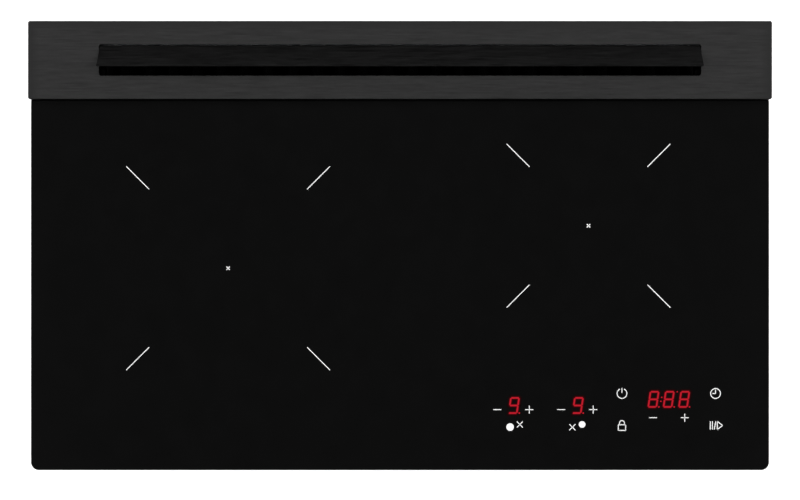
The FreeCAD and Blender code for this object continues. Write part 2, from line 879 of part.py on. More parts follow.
def clamp_screw_places():
    """Places of the screws that hold the four clamps, on the casing's floor."""
    x = casing_x + S.clamp_overlap - S.clamp_length + S.clamp_width / 2
    return [(side * x, end * S.clamp_y) for side in (-1, 1) for end in (-1, 1)]


def make_clamps():
    """Four flat clamps under the casing, each with a foot bolt that presses on the worktop from below."""
    top = -S.casing_depth_below
    bottom = top - S.clamp_thickness
    bolt_x = casing_x + S.clamp_overlap - S.clamp_width / 2
    hole = S.screw_clearance
    bars, bolts, screws = [], [], []
    for side in (-1, 1):
        for end in (-1, 1):
            y = end * S.clamp_y
            near = casing_x + S.clamp_overlap - S.clamp_length
            far = casing_x + S.clamp_overlap
            low, high = (near, far) if side > 0 else (-far, -near)
            bar = block((low, y - S.clamp_width / 2, bottom), (high, y + S.clamp_width / 2, top))
            x = side * bolt_x
            bolt_hole = rod((x, y, bottom - 1), S.clamp_bolt_radius + hole, S.clamp_thickness + 2)
            screw_x = side * (near + S.clamp_width / 2)
            screw_hole = rod((screw_x, y, bottom - 1), S.clamp_screw_radius + hole, S.clamp_thickness + 2)
            bars.append(cut(bar, bolt_hole, screw_hole))
            head = hexagon((x, y, bottom - S.clamp_foot_height), 2 * S.clamp_bolt_radius, S.clamp_foot_height)
            shank = rod((x, y, bottom - S.clamp_foot_height), S.clamp_bolt_radius, S.clamp_bolt_length)
            foot_z = bottom - S.clamp_foot_height + S.clamp_bolt_length
            foot = rod((x, y, foot_z), S.clamp_foot_radius, S.clamp_foot_height)
            bolts.append(join(head, shank, foot))
            screws.append(pan_screw((screw_x, y, bottom), S.clamp_thickness + 3 * S.casing_sheet, down=True))
    subpart(group(bars), "fixing_clamps")
    subpart(group(bolts), "clamp_bolts")
    subpart(group(screws), "clamp_screws")


def pan_screw(seat, reach, down=False):
    """A plain screw whose head lies on a level seat; its shank goes the other way."""
    x, y, z = seat
    head_z = z - S.screw_head_height if down else z
    shank_z = z if down else z - reach
    head = rod((x, y, head_z), 2 * S.clamp_screw_radius, S.screw_head_height)
    shank = rod((x, y, shank_z), S.clamp_screw_radius, reach)
    return join(head, shank)


# Cooking zones

def make_zone(side, x, y, radius, turns):
    """One induction zone: former, winding, ferrite bars, mica disc, sensor and silicone supports."""
    former = new_body(f"coil_former_{side}")
    ring = sketch_on(former, "XY", former_bottom)
    draw_circle(ring, (0, 0), radius + S.former_rim)
    draw_circle(ring, (0, 0), S.former_bore)
    pad(former, ring, S.former_thickness)
    window = sketch_on(former, "XY", former_top)
    clear = S.ferrite_width / 2 - 2
    draw_box(window, S.winding_inner_radius + S.ferrite_width / 2, -clear, radius - S.ferrite_width, clear)
    opening = pocket(former, window, 2 * S.former_thickness)
    pattern(former, opening, "Z", S.ferrite_count)
    place(former, (x, y, 0))
    doc.recompute()

    bars = new_body(f"ferrite_bars_{side}")
    bar = sketch_on(bars, "XY", former_bottom - S.ferrite_height)
    draw_box(bar, S.winding_inner_radius, -S.ferrite_width / 2, radius - S.former_rim, S.ferrite_width / 2)
    first = pad(bars, bar, S.ferrite_height)
    pattern(bars, first, "Z", S.ferrite_count)
    place(bars, (x, y, 0))

    winding = doc.addObject("Part::Feature", f"coil_winding_{side}")
    winding.Shape = spiral_band(radius.value, int(turns.value))
    place(winding, (x, y, former_top))
    subpart(winding, f"coil_winding_{side}")

    sheet_disc = rod((x, y, winding_top), radius + S.former_rim, S.mica_thickness)
    sensor_hole = rod((x, y, winding_top - 1), S.former_bore, S.mica_thickness + 2)
    subpart(cut(sheet_disc, sensor_hole), f"mica_disc_{side}")

    stem = rod((x, y, former_bottom), S.sensor_radius, glass_bottom - former_bottom)
    flange = rod((x, y, former_bottom - S.sensor_flange_thickness), S.former_bore + S.sensor_flange,
                 S.sensor_flange_thickness)
    subpart(join(stem, flange), f"pan_sensor_{side}")

    supports = new_body(f"coil_supports_{side}")
    pad_sketch = sketch_on(supports, "XY", carrier_top)
    step = 180 / S.ferrite_count.value
    middle = (S.winding_inner_radius + radius) / 2 + S.ferrite_width
    draw_circle(pad_sketch, polar(middle, step), S.pad_radius)
    post = pad(supports, pad_sketch, former_bottom - carrier_top)
    pattern(supports, post, "Z", S.pad_count)
    place(supports, (x, y, 0))


def spiral_band(outer_radius, turns):
    """A flat spiral of litz band made of half-turn arcs, standing on the XY plane."""
    band = S.winding_band.value
    inner_radius = S.winding_inner_radius.value + band / 2
    pitch = (outer_radius - band / 2 - inner_radius) / turns
    print(f"winding pitch {pitch:.2f} mm, least gap between turns {pitch - band:.2f} mm")
    sides = []
    for offset in (-band / 2, band / 2):
        runs = []
        for half in range(2 * turns):
            radius = inner_radius + half * pitch / 2 + offset
            middle = pitch / 2 if half % 2 else 0.0
            sign = -1 if half % 2 else 1
            start = Vector(middle + sign * radius, 0, 0)
            crest = Vector(middle, sign * radius, 0)
            finish = Vector(middle - sign * radius, 0, 0)
            runs.append(Part.Arc(start, crest, finish).toShape())
        sides.append(runs)
    inside, outside = sides
    tail = Part.makeLine(inside[-1].Vertexes[-1].Point, outside[-1].Vertexes[-1].Point)
    lead = Part.makeLine(outside[0].Vertexes[0].Point, inside[0].Vertexes[0].Point)
    wire = Part.Wire(Part.__sortEdges__(inside + [tail] + outside + [lead]))
    return Part.Face(wire).extrude(Vector(0, 0, S.winding_height.value))


def post_places():
    """Places of the posts under the coil carrier."""
    x = inside_x - S.post_inset
    front = -inside_y + S.post_inset
    back = wall_y - S.post_inset
    return [(-x, front), (as_length(0), front), (x, front), (-x, back), (as_length(0), back), (x, back)]


def make_carrier():
    """Aluminium sheet that carries the coils and the touch unit, on six posts."""
    plate = block((-inside_x + S.carrier_margin, -inside_y + S.casing_sheet, carrier_top - S.carrier_sheet),
                  (inside_x - S.carrier_margin, wall_y - S.casing_sheet, carrier_top))
    windows = [rod((x, y, carrier_top - 2 * S.carrier_sheet), S.carrier_window, 3 * S.carrier_sheet)
               for x, y in ((S.left_zone_x, S.left_zone_y), (S.right_zone_x, S.right_zone_y))]
    subpart(cut(plate, *windows), "coil_carrier_plate")
    height = carrier_top - S.carrier_sheet - casing_floor
    posts = [rod((x, y, casing_floor), S.post_radius, height) for x, y in post_places()]
    subpart(group(posts), "carrier_posts")


# Power electronics

def make_power_board():
    """Power board on spacers with its heat sink, transistors, capacitors and choke."""
    board = block((board_left, S.board_front, board_bottom), (board_right, S.board_back, board_top))
    subpart(board, "power_board")
    spacers = [rod((x, y, casing_floor), S.spacer_radius, S.spacer_height)
               for x in (board_left + S.spacer_inset, board_right - S.spacer_inset)
               for y in (S.board_front + S.spacer_inset, S.board_back - S.spacer_inset)]
    subpart(group(spacers), "board_spacers")

    sink = new_body("heat_sink")
    sink_front = S.board_back - S.sink_width
    profile = sketch_on(sink, "YZ", board_left + S.spacer_inset)
    count = int(S.sink_fins.value)
    pitch = (S.sink_width - S.sink_fin_width) / (count - 1)
    crest = board_top + S.sink_height
    root_level = board_top + S.sink_base
    steps = [(sink_front, board_top), (S.board_back, board_top)]
    for i in reversed(range(count)):
        left = sink_front + pitch * i
        right = left + S.sink_fin_width
        if i < count - 1:
            steps.append((right, root_level))
        steps += [(right, crest), (left, crest)]
        if i:
            steps.append((left, root_level))
    draw(profile, steps)
    pad(sink, profile, S.sink_length)

    start = board_left + 2 * S.spacer_inset
    transistors = []
    for i in range(int(S.transistor_count.value)):
        x = start + S.transistor_pitch * i
        transistors.append(block((x, sink_front - S.transistor_thickness, board_top),
                                 (x + S.transistor_width, sink_front, board_top + S.transistor_height)))
    subpart(group(transistors), "power_transistors")

    capacitors = []
    for i in range(int(S.capacitor_count.value)):
        x = start + S.capacitor_pitch * i
        y = S.board_front + 2 * S.spacer_inset
        far = (x + S.capacitor_length, y + S.capacitor_width, board_top + S.capacitor_height)
        capacitors.append(block((x, y, board_top), far))
    subpart(group(capacitors), "film_capacitors")

    middle = (board_right - S.sink_width, S.board_front / 2)
    ring = rod((*middle, board_top), S.choke_radius, S.choke_height)
    eye = rod((*middle, board_top - 1), S.choke_bore, S.choke_height + 2)
    subpart(cut(ring, eye), "choke_coil")


def make_cooling_fan():
    """Axial fan on the casing's floor over the grille."""
    half = S.fan_size / 2
    frame = block((fan_x - half, S.fan_y - half, casing_floor),
                  (fan_x + half, S.fan_y + half, casing_floor + S.fan_height))
    tunnel = rod((fan_x, S.fan_y, casing_floor - 1), S.fan_bore, S.fan_height + 2)
    strut_height = S.grille_bar
    hub = rod((fan_x, S.fan_y, casing_floor), S.fan_hub, strut_height)
    reach = S.fan_bore + 1
    bar = S.fan_strut / 2
    across = block((fan_x - reach, S.fan_y - bar, casing_floor), (fan_x + reach, S.fan_y + bar,
                                                                    casing_floor + strut_height))
    along = block((fan_x - bar, S.fan_y - reach, casing_floor), (fan_x + bar, S.fan_y + reach,
                                                                   casing_floor + strut_height))
    pin = rod((fan_x, S.fan_y, casing_floor), S.fan_pin, strut_height + S.fan_hub_height / 2)
    subpart(join(cut(frame, tunnel), hub, across, along, pin), "cooling_fan_frame")

    rotor = new_body("cooling_fan_rotor")
    base = casing_floor + strut_height + S.fan_cup_gap
    hub_sketch = sketch_on(rotor, "XY", base)
    draw_circle(hub_sketch, (0, 0), S.fan_hub)
    pad(rotor, hub_sketch, S.fan_hub_height)
    bore = sketch_on(rotor, "XY", base)
    draw_circle(bore, (0, 0), S.fan_pin + S.shaft_clearance)
    pocket(rotor, bore, S.fan_hub_height / 2 + S.fan_cup_gap, reverse=True)
    blade = sketch_on(rotor, "YZ", S.fan_hub - 1)
    lean = S.fan_blade_chord / 2
    rise = S.fan_hub_height - 2
    draw(blade, [(-lean, base + 1), (-lean + 2 * S.fan_blade_thickness, base + 1), (lean, base + rise),
                 (lean - 2 * S.fan_blade_thickness, base + rise)])
    vane = pad(rotor, blade, S.fan_bore - S.fan_tip_gap - S.fan_hub + 0.5)
    pattern(rotor, vane, "Z", S.fan_blades)
    place(rotor, (fan_x, S.fan_y, 0))


def make_touch_unit():
    """Touch board in a plastic carrier below the symbols, with foam pads and displays against the glass."""
    base = carrier_top
    carrier = block((touch_left, touch_front, base),
                    (touch_right, touch_back, base + S.touch_carrier_height))
    hollow = block((touch_left + S.touch_wall, touch_front + S.touch_wall, base + S.touch_wall),
                   (touch_right - S.touch_wall, touch_back - S.touch_wall, base + S.touch_carrier_height + 1))
    subpart(cut(carrier, hollow), "touch_board_carrier")
    board_z = base + S.touch_carrier_height
    top = board_z + S.touch_board_thickness
    subpart(block((touch_left, touch_front, board_z), (touch_right, touch_back, top)), "touch_board")

    # each pair of minus and plus keys has a display between them
    keys, digits = [], []
    for column, key_row, digit_row, count in (
            (S.key_inset, S.zone_key_row, S.zone_digit_row, 1),
            (S.key_inset + S.zone_key_pitch, S.zone_key_row, S.zone_digit_row, 1),
            (S.timer_column, S.timer_key_row, S.timer_digit_row, 3)):
        keys += [(column, key_row), (column + S.key_pitch, key_row)]
        x = touch_left + column + S.key_pitch / 2
        y = touch_front + digit_row
        across = S.digit_width * count / 2
        digits.append(block((x - across, y - S.digit_depth / 2, top),
                            (x + across, y + S.digit_depth / 2, top + S.digit_height)))
    for column in (S.power_column, S.clock_column):
        keys += [(column, S.lower_key_row), (column, S.upper_key_row)]
    pads = [rod((touch_left + x, touch_front + y, top), S.touch_pad_radius, glass_bottom - top)
            for x, y in keys]
    subpart(group(pads), "touch_pads")
    subpart(group(digits), "digit_displays")


def make_mains_connection():
    """Cable gland through the casing's floor and the terminal block beside it."""
    below = -S.casing_depth_below
    centre = (gland_x, gland_y)
    body_part = rod((*centre, below - S.gland_length), S.gland_body, S.gland_length - S.gland_nut_height)
    collar = hexagon((*centre, below - S.gland_nut_height), S.gland_nut, S.gland_nut_height)
    thread = rod((*centre, below), S.gland_thread, S.casing_sheet + S.gland_nut_height)
    nut = hexagon((*centre, casing_floor), S.gland_nut, S.gland_nut_height - 1)
    bore = rod((*centre, below - S.gland_length - 1), S.gland_bore, S.gland_length + 3 * S.gland_nut_height)
    subpart(cut(join(body_part, collar, thread, nut), bore), "cable_gland")

    x0 = terminal_left
    y0 = gland_y - S.terminal_width / 2
    base = block((x0, y0, casing_floor), (x0 + S.terminal_length, y0 + S.terminal_width,
                                          casing_floor + S.terminal_height))
    chambers = []
    poles = int(S.terminal_poles.value)
    pitch = S.terminal_length / poles
    for i in range(poles):
        x = x0 + pitch * (i + 0.5)
        chambers.append(rod((x, y0 + S.terminal_width / 2, casing_floor + S.terminal_height / 2),
                            pitch / 3, S.terminal_height))
    subpart(cut(base, *chambers), "terminal_block")


# Extractor

def plenum_steps(inset):
    """The plenum's outline seen from the front, drawn in by its wall for the inside."""
    top = 1 if inset is S.plenum_wall else 0
    rise = 0.7 * inset
    wide = plenum_half - inset
    left = S.blower_x - S.throat_half_width + inset
    right = S.blower_x + S.throat_half_width - inset
    return [(-wide, as_length(top)), (-wide, rise - S.plenum_shoulder), (left, rise - S.plenum_throat),
            (left, inset - S.plenum_bottom), (right, inset - S.plenum_bottom),
            (right, rise - S.plenum_throat), (wide, rise - S.plenum_shoulder), (wide, as_length(top))]


def plenum_screw_places():
    """Places of the screws through the plenum's end tabs."""
    x = plenum_half + S.plenum_tab / 2
    y = (plenum_front + plenum_back) / 2
    return [(-x, y), (x, y)]


def make_plenum():
    """Flat air duct from the slot to the blower: a shell with filter ledges and a drain, and its cover."""
    body = new_body("air_plenum")
    shell_back = plenum_back - S.plenum_wall
    outside = sketch_on(body, "XZ", shell_back)
    draw(outside, plenum_steps(as_length(0)))
    pad(body, outside, shell_back - plenum_front)
    inside = sketch_on(body, "XZ", shell_back)
    draw(inside, plenum_steps(S.plenum_wall))
    pocket(body, inside, shell_back - plenum_front - S.plenum_wall, reverse=True)

    tabs = sketch_on(body, "XY", casing_floor)
    inner = plenum_half - S.plenum_wall / 2
    outer = plenum_half + S.plenum_tab
    for low, high in ((-outer, -inner), (inner, outer)):
        draw_box(tabs, low, plenum_front, high, shell_back)
    for place_xy in plenum_screw_places():
        draw_circle(tabs, place_xy, S.clamp_screw_radius + S.screw_clearance)
    pad(body, tabs, S.plenum_wall)

    ledges = sketch_on(body, "XY", filter_bottom)
    ledge_in = filter_half - S.filter_ledge
    ledge_out = plenum_half - S.plenum_wall / 2
    for low, high in ((-ledge_out, -ledge_in), (ledge_in, ledge_out)):
        draw_box(ledges, low, plenum_front + S.plenum_wall / 2, high, shell_back)
    pad(body, ledges, S.plenum_wall, reverse=True)

    inlet = sketch_on(body, "XZ", plenum_front)
    draw_circle(inlet, (S.blower_x, blower_z), inlet_hole)
    pocket(body, inlet, 2 * S.plenum_wall)
    drain = sketch_on(body, "XY", -S.plenum_bottom)
    draw_circle(drain, (S.blower_x, (plenum_front + plenum_back) / 2), S.drain_radius)
    pocket(body, drain, 2 * S.plenum_wall, reverse=True)

    cover = new_body("plenum_cover")
    sheet_outline = sketch_on(cover, "XZ", plenum_back)
    draw(sheet_outline, plenum_steps(as_length(0)))
    pad(cover, sheet_outline, S.plenum_wall)
    ribs = sketch_on(cover, "XZ", plenum_back)
    rib_top = -S.casing_depth_below - S.rib_margin
    throat_right = S.blower_x + S.throat_half_width
    throat_left = S.blower_x - S.throat_half_width
    slope = S.plenum_throat - S.plenum_shoulder
    for i in range(-int(S.rib_count.value), int(S.rib_count.value) + 1):
        x = S.blower_x + i * S.rib_pitch
        rib_bottom = S.rib_margin - S.plenum_bottom
        if x.value > throat_right.value:
            run = (plenum_half - x) / (plenum_half - throat_right)
            rib_bottom = S.rib_margin - S.plenum_shoulder - slope * run
        if x.value < throat_left.value:
            run = (plenum_half + x) / (plenum_half + throat_left)
            rib_bottom = S.rib_margin - S.plenum_shoulder - slope * run
        draw_box(ribs, x - S.rib_width / 2, rib_bottom, x + S.rib_width / 2, rib_top)
    pad(cover, ribs, S.rib_height, reverse=True)

    screws = [pan_screw((x, y, casing_floor + S.plenum_wall), S.plenum_wall + 3 * S.casing_sheet)
              for x, y in plenum_screw_places()]
    subpart(group(screws), "plenum_screws")


def make_filter():
    """Grease filter: a steel frame round pleated mesh, standing on the plenum's ledges."""
    wide = filter_half
    front = filter_y - S.filter_thickness / 2
    back = filter_y + S.filter_thickness / 2
    top = filter_bottom + S.filter_height
    skin = S.filter_sheet
    frame = block((-wide, front, filter_bottom), (wide, back, top))
    hollow = block((-wide + skin, front + skin, filter_bottom - 1), (wide - skin, back - skin, top + 1))
    rail = wide - skin / 2
    rails = [block((-rail, y - skin, filter_bottom), (rail, y + skin, filter_bottom + skin))
             for y in (front + S.filter_thickness / 3, back - S.filter_thickness / 3)]
    subpart(join(cut(frame, hollow), *rails), "filter_frame")

    mesh = new_body("filter_mesh")
    fold = sketch_on(mesh, "XZ", back - skin)
    pitch = 2 * (wide - skin) / S.filter_pleats
    low = filter_bottom + skin
    high = top - S.filter_mesh_band - skin
    start = -wide + skin
    lower = [(start, low), (start + pitch / 2, high), (start + pitch, low)]
    upper = [(x, z + S.filter_mesh_band) for x, z in lower]
    draw(fold, lower + upper[::-1])
    pleat = pad(mesh, fold, S.filter_thickness - 2 * skin)
    row_of(mesh, pleat, pitch * (S.filter_pleats - 1), S.filter_pleats)


def scroll_steps(wall, outlet):
    """The blower's spiral, three quarter arcs of growing radius that run out straight to the right."""
    x = S.blower_x
    step = S.scroll_growth
    first = S.scroll_radius + wall
    second = first + step
    third = second + step
    low_z = blower_z - step
    far_x = x + step
    bottom = scroll_bottom - wall
    return [
        (outlet, bottom),
        (outlet, tongue_z + wall),
        (tongue_x + wall, tongue_z + wall),
        (x + first, blower_z, ((x, blower_z), first, True)),
        (x, blower_z + first, ((x, low_z), second, True)),
        (x - second, low_z, ((far_x, low_z), third, True)),
        (far_x, bottom),
    ]


def scroll_screw_places():
    """Places of the screws round the scroll, on posts outside its wall."""
    x = S.blower_x
    step = S.scroll_growth
    bite = S.scroll_wall + S.screw_post_radius / 2
    places = []
    for angle, middle, radius in ((45, (x, blower_z), S.scroll_radius),
                                  (135, (x, blower_z - step), S.scroll_radius + step),
                                  (225, (x + step, blower_z - step), S.scroll_radius + 2 * step)):
        across, up = polar(radius + bite, angle)
        places.append((middle[0] + across, middle[1] + up))
    places.append((tongue_x + bite, tongue_z + bite))
    return places


def make_scroll():
    """Blower housing in two parts with screw posts, and its screws."""
    housing = new_body("scroll_housing")
    outside = sketch_on(housing, "XZ", scroll_back)
    draw(outside, scroll_steps(S.scroll_wall, outlet_x))
    length = scroll_back - cover_back
    pad(housing, outside, length)
    posts = sketch_on(housing, "XZ", scroll_back)
    for centre in scroll_screw_places():
        draw_circle(posts, centre, S.screw_post_radius)
    pad(housing, posts, length)
    inside = sketch_on(housing, "XZ", scroll_back - S.scroll_wall)
    draw(inside, scroll_steps(as_length(0), outlet_x + 1))
    pocket(housing, inside, length, reverse=True)
    inlet = sketch_on(housing, "XZ", scroll_back)
    draw_circle(inlet, (S.blower_x, blower_z), inlet_hole)
    pocket(housing, inlet, 2 * S.scroll_wall, reverse=True)
    holes = sketch_on(housing, "XZ", cover_back)
    for centre in scroll_screw_places():
        draw_circle(holes, centre, S.clamp_screw_radius + S.screw_clearance)
    pocket(housing, holes, length / 2)

    cover = new_body("scroll_cover")
    plate = sketch_on(cover, "XZ", cover_back)
    draw(plate, scroll_steps(S.scroll_wall, outlet_x))
    pad(cover, plate, S.scroll_cover)
    ears = sketch_on(cover, "XZ", cover_back)
    for centre in scroll_screw_places():
        draw_circle(ears, centre, S.screw_post_radius)
    pad(cover, ears, S.scroll_cover)
    boss = sketch_on(cover, "XZ", scroll_front)
    axis = (S.blower_x, blower_z)
    draw_circle(boss, axis, S.boss_radius)
    draw_circle(boss, axis, S.boss_radius - S.rib_width)
    spread = math.degrees(S.rib_width.value / S.boss_radius.value)
    for i in range(int(S.boss_ribs.value)):
        angle = 360 * (i + 0.5) / int(S.boss_ribs.value)
        near_a = polar(S.boss_radius - S.rib_width / 2, angle - spread / 2)
        near_b = polar(S.boss_radius - S.rib_width / 2, angle + spread / 2)
        far_a = polar(S.rib_reach, angle - spread / 4)
        far_b = polar(S.rib_reach, angle + spread / 4)
        rib = sketch_on(cover, "XZ", scroll_front)
        draw(rib, [(axis[0] + x, axis[1] + z) for x, z in (near_a, far_a, far_b, near_b)])
        pad(cover, rib, S.rib_height)
    pad(cover, boss, S.rib_height)
    bores = sketch_on(cover, "XZ", cover_back)
    for centre in scroll_screw_places():
        draw_circle(bores, centre, S.clamp_screw_radius + S.screw_clearance)
    draw_circle(bores, (S.blower_x, blower_z), S.shaft_radius + 4 * S.screw_clearance)
    pocket(cover, bores, 2 * S.scroll_cover, reverse=True)

    screws = []
    for x, z in scroll_screw_places():
        head_y = scroll_front - S.screw_head_height
        head = rod((x, head_y, z), 2 * S.clamp_screw_radius, S.screw_head_height, "y")
        shank = rod((x, scroll_front, z), S.clamp_screw_radius, length / 4, "y")
        screws.append(join(head, shank))
    subpart(group(screws), "scroll_screws")

    tube_end = scroll_back - S.inlet_reach
    seat = plenum_front + S.plenum_wall
    centre = S.blower_x
    tube_length = seat - tube_end + S.plenum_wall
    tube = rod((centre, tube_end, blower_z), S.inlet_radius + S.inlet_tube, tube_length, "y")
    flange = rod((centre, seat, blower_z), inlet_hole + S.inlet_flange, S.plenum_wall, "y")
    bore = rod((centre, tube_end - 1, blower_z), S.inlet_radius, S.inlet_reach + 10 * S.plenum_wall, "y")
    subpart(cut(join(tube, flange), bore), "inlet_ring")


def make_blower():
    """External-rotor motor on the cover and the forward-curved wheel on its rotor."""
    x = S.blower_x
    flange = rod((x, cover_back, blower_z), S.motor_flange, S.motor_flange_thickness, "y")
    stack_y = cover_back + S.motor_flange_thickness
    stack = rod((x, stack_y, blower_z), S.motor_radius, S.motor_length, "y")
    bearing = rod((x, cover_back - 1, blower_z), S.shaft_radius + S.shaft_clearance, 2 * S.motor_length, "y")
    subpart(cut(join(flange, stack), bearing), "motor_stator")

    cup_in = S.motor_radius + S.rotor_gap
    cup_out = cup_in + S.rotor_wall
    cup_y = stack_y + S.rotor_gap
    cup = rod((x, cup_y, blower_z), cup_out, S.rotor_length, "y")
    hollow = rod((x, cup_y - 1, blower_z), cup_in, S.motor_length + 1, "y")
    shaft = rod((x, cover_back, blower_z), S.shaft_radius, cup_y - cover_back + S.rotor_length, "y")
    subpart(join(cut(cup, hollow), shaft), "motor_rotor")

    wheel = new_body("blower_wheel")
    plate_front = cover_back + S.wheel_front_gap
    plate_back = plate_front + S.wheel_plate
    wheel_back = scroll_back - S.inlet_reach - S.wheel_inlet_gap
    plate = sketch_on(wheel, "XZ", plate_back)
    draw_circle(plate, (0, 0), S.wheel_radius)
    draw_circle(plate, (0, 0), cup_out + S.shaft_clearance)
    pad(wheel, plate, S.wheel_plate)
    ring = sketch_on(wheel, "XZ", wheel_back)
    draw_circle(ring, (0, 0), S.wheel_radius)
    draw_circle(ring, (0, 0), S.wheel_radius - S.wheel_ring)
    pad(wheel, ring, S.wheel_plate)
    blade = sketch_on(wheel, "XZ", wheel_back)
    tip = S.wheel_radius - 0.5
    inner_a = polar(S.wheel_inner_radius, 0)
    outer_a = polar(tip, S.blade_sweep)
    outer_b = polar(tip, S.blade_sweep + S.blade_thick_angle)
    inner_b = polar(S.wheel_inner_radius, S.blade_thick_angle)
    draw(blade, [(*inner_a, (arc_centre(inner_a, outer_a), S.blade_curve, True)), outer_a,
                 (*outer_b, (arc_centre(inner_b, outer_b), S.blade_curve, False)), inner_b])
    vane = pad(wheel, blade, wheel_back - plate_front - S.wheel_plate / 2)
    pattern(wheel, vane, "Y", S.blade_count)
    place(wheel, (x, 0, blower_z))


def arc_centre(a, b):
    """Present centre of a blade's curve through two points, on its left side."""
    start, finish = flat(a), flat(b)
    chord = finish - start
    height = math.sqrt(S.blade_curve.value ** 2 - (chord.Length / 2) ** 2)
    side = Vector(-chord.y, chord.x, 0) / chord.Length
    middle = (start + finish) / 2 + side * height
    return (middle.x, middle.y)


def make_outlet():
    """Rectangular-to-round outlet adapter with a duct collar, and the damper that hangs in it."""
    body = new_body("outlet_adapter")
    wall = S.scroll_wall
    outer_low = scroll_bottom - wall
    outer_high = tongue_z + wall
    seat = sketch_on(body, "YZ", outlet_x)
    edge = S.adapter_flange
    draw_box(seat, scroll_front - edge, outer_low - edge, scroll_back + edge, outer_high + edge)
    pad(body, seat, S.adapter_flange_thickness)
    square = sketch_on(body, "YZ", outlet_x)
    draw_box(square, scroll_front, outer_low, scroll_back, outer_high)
    ring = sketch_on(body, "YZ", collar_x)
    centre = (collar_y, collar_z)
    draw(ring, round_steps(centre, S.collar_radius))
    loft(body, "Additive", [square, ring])
    collar = sketch_on(body, "YZ", collar_x)
    draw_circle(collar, centre, S.collar_radius)
    pad(body, collar, S.collar_length)
    bore_radius = S.collar_radius - S.collar_wall
    inner_square = sketch_on(body, "YZ", outlet_x)
    draw_box(inner_square, cover_back, scroll_bottom, scroll_back - wall, tongue_z)
    inner_ring = sketch_on(body, "YZ", collar_x)
    draw(inner_ring, round_steps(centre, bore_radius))
    loft(body, "Subtractive", [inner_square, inner_ring])
    bore = sketch_on(body, "YZ", collar_x)
    draw_circle(bore, centre, bore_radius)
    pocket(body, bore, S.collar_length + 1, reverse=True)
    stop = sketch_on(body, "YZ", damper_x - S.damper_thickness)
    low = collar_z - S.collar_radius + S.collar_wall / 2
    draw_box(stop, collar_y - 2 * S.damper_stop, low, collar_y + 2 * S.damper_stop, low + S.damper_stop)
    pad(body, stop, S.damper_thickness, reverse=True)
    axle_holes = sketch_on(body, "XZ", collar_y - S.collar_radius)
    draw_circle(axle_holes, (damper_x, damper_z), S.damper_axle + S.damper_clearance)
    pocket(body, axle_holes, 2 * S.collar_radius)

    half = S.damper_thickness / 2
    disc = rod((damper_x - half, collar_y, collar_z), S.damper_radius, S.damper_thickness, "x")
    reach = root(bore_radius * bore_radius - S.damper_lift * S.damper_lift) + S.collar_wall / 2
    axle = rod((damper_x, collar_y - reach, damper_z), S.damper_axle, 2 * reach, "y")
    subpart(join(disc, axle), "damper_flap")


def make_drip_tray():
    """Drip tray below the plenum's drain, sliding out to the left on two runners."""
    left = S.blower_x - S.throat_half_width
    right = S.blower_x + S.throat_half_width
    ceiling = -S.plenum_bottom
    sheet_t = S.runner_sheet
    inner_front = plenum_front + sheet_t
    inner_back = plenum_back - sheet_t
    lip_in = S.tray_rim + S.tray_clearance
    lip_z = ceiling - S.tray_rim - 2 * S.tray_clearance
    runners = []
    for y, inward in ((plenum_front, 1), (plenum_back, -1)):
        web_low, web_high = (y, y + sheet_t) if inward > 0 else (y - sheet_t, y)
        web = block((left, web_low, lip_z - sheet_t), (right, web_high, ceiling))
        lip_low, lip_high = (y, y + sheet_t + S.tray_rim) if inward > 0 else (y - sheet_t - S.tray_rim, y)
        lip = block((left, lip_low, lip_z - sheet_t), (right, lip_high, lip_z))
        runners.append(join(web, lip))
    subpart(group(runners), "tray_runners")

    rim_z = lip_z + S.tray_clearance / 4
    rim = block((left, inner_front + S.tray_clearance, rim_z),
                (right, inner_back - S.tray_clearance, rim_z + S.tray_rim))
    pan_front = inner_front + S.tray_clearance + lip_in
    pan_back = inner_back - S.tray_clearance - lip_in
    pan = block((left, pan_front, rim_z - S.tray_height), (right, pan_back, rim_z + S.tray_rim))
    hollow = block((left + S.tray_wall, pan_front + S.tray_wall, rim_z - S.tray_height + S.tray_wall),
                   (right - S.tray_wall, pan_back - S.tray_wall, rim_z + S.tray_rim + 1))
    grip = block((left - S.tray_grip, pan_front, rim_z - S.tray_wall), (left, pan_back, rim_z))
    subpart(cut(join(rim, pan, grip), hollow), "drip_tray")


make_glass()
make_seam_seal()
make_vent_strip()
make_flap()
make_hinge()
make_gasket()
make_glue()
make_casing()
make_compartment_wall()
make_clamps()
make_zone("left", S.left_zone_x, S.left_zone_y, S.left_zone_radius, S.left_turns)
make_zone("right", S.right_zone_x, S.right_zone_y, S.right_zone_radius, S.right_turns)
make_carrier()
make_power_board()
make_cooling_fan()
make_touch_unit()
make_mains_connection()
make_plenum()
make_filter()
make_scroll()
make_blower()
make_outlet()
make_drip_tray()
doc.recompute()

for item in doc.Objects:
    if "Invalid" in item.State or "Error" in item.State:
        raise RuntimeError(f"{item.Label} did not recompute: {item.State}")
os.makedirs("parts", exist_ok=True)
for item in SUBPARTS:
    if item.Shape.isNull() or not item.Shape.isValid():
        raise RuntimeError(f"{item.Label} has no valid shape")
    item.Shape.exportStep(f"parts/{item.Label}.step")
print(f"{len(SUBPARTS)} sub-parts")
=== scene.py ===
import math

import bmesh
import bpy
from mathutils import Matrix, Vector


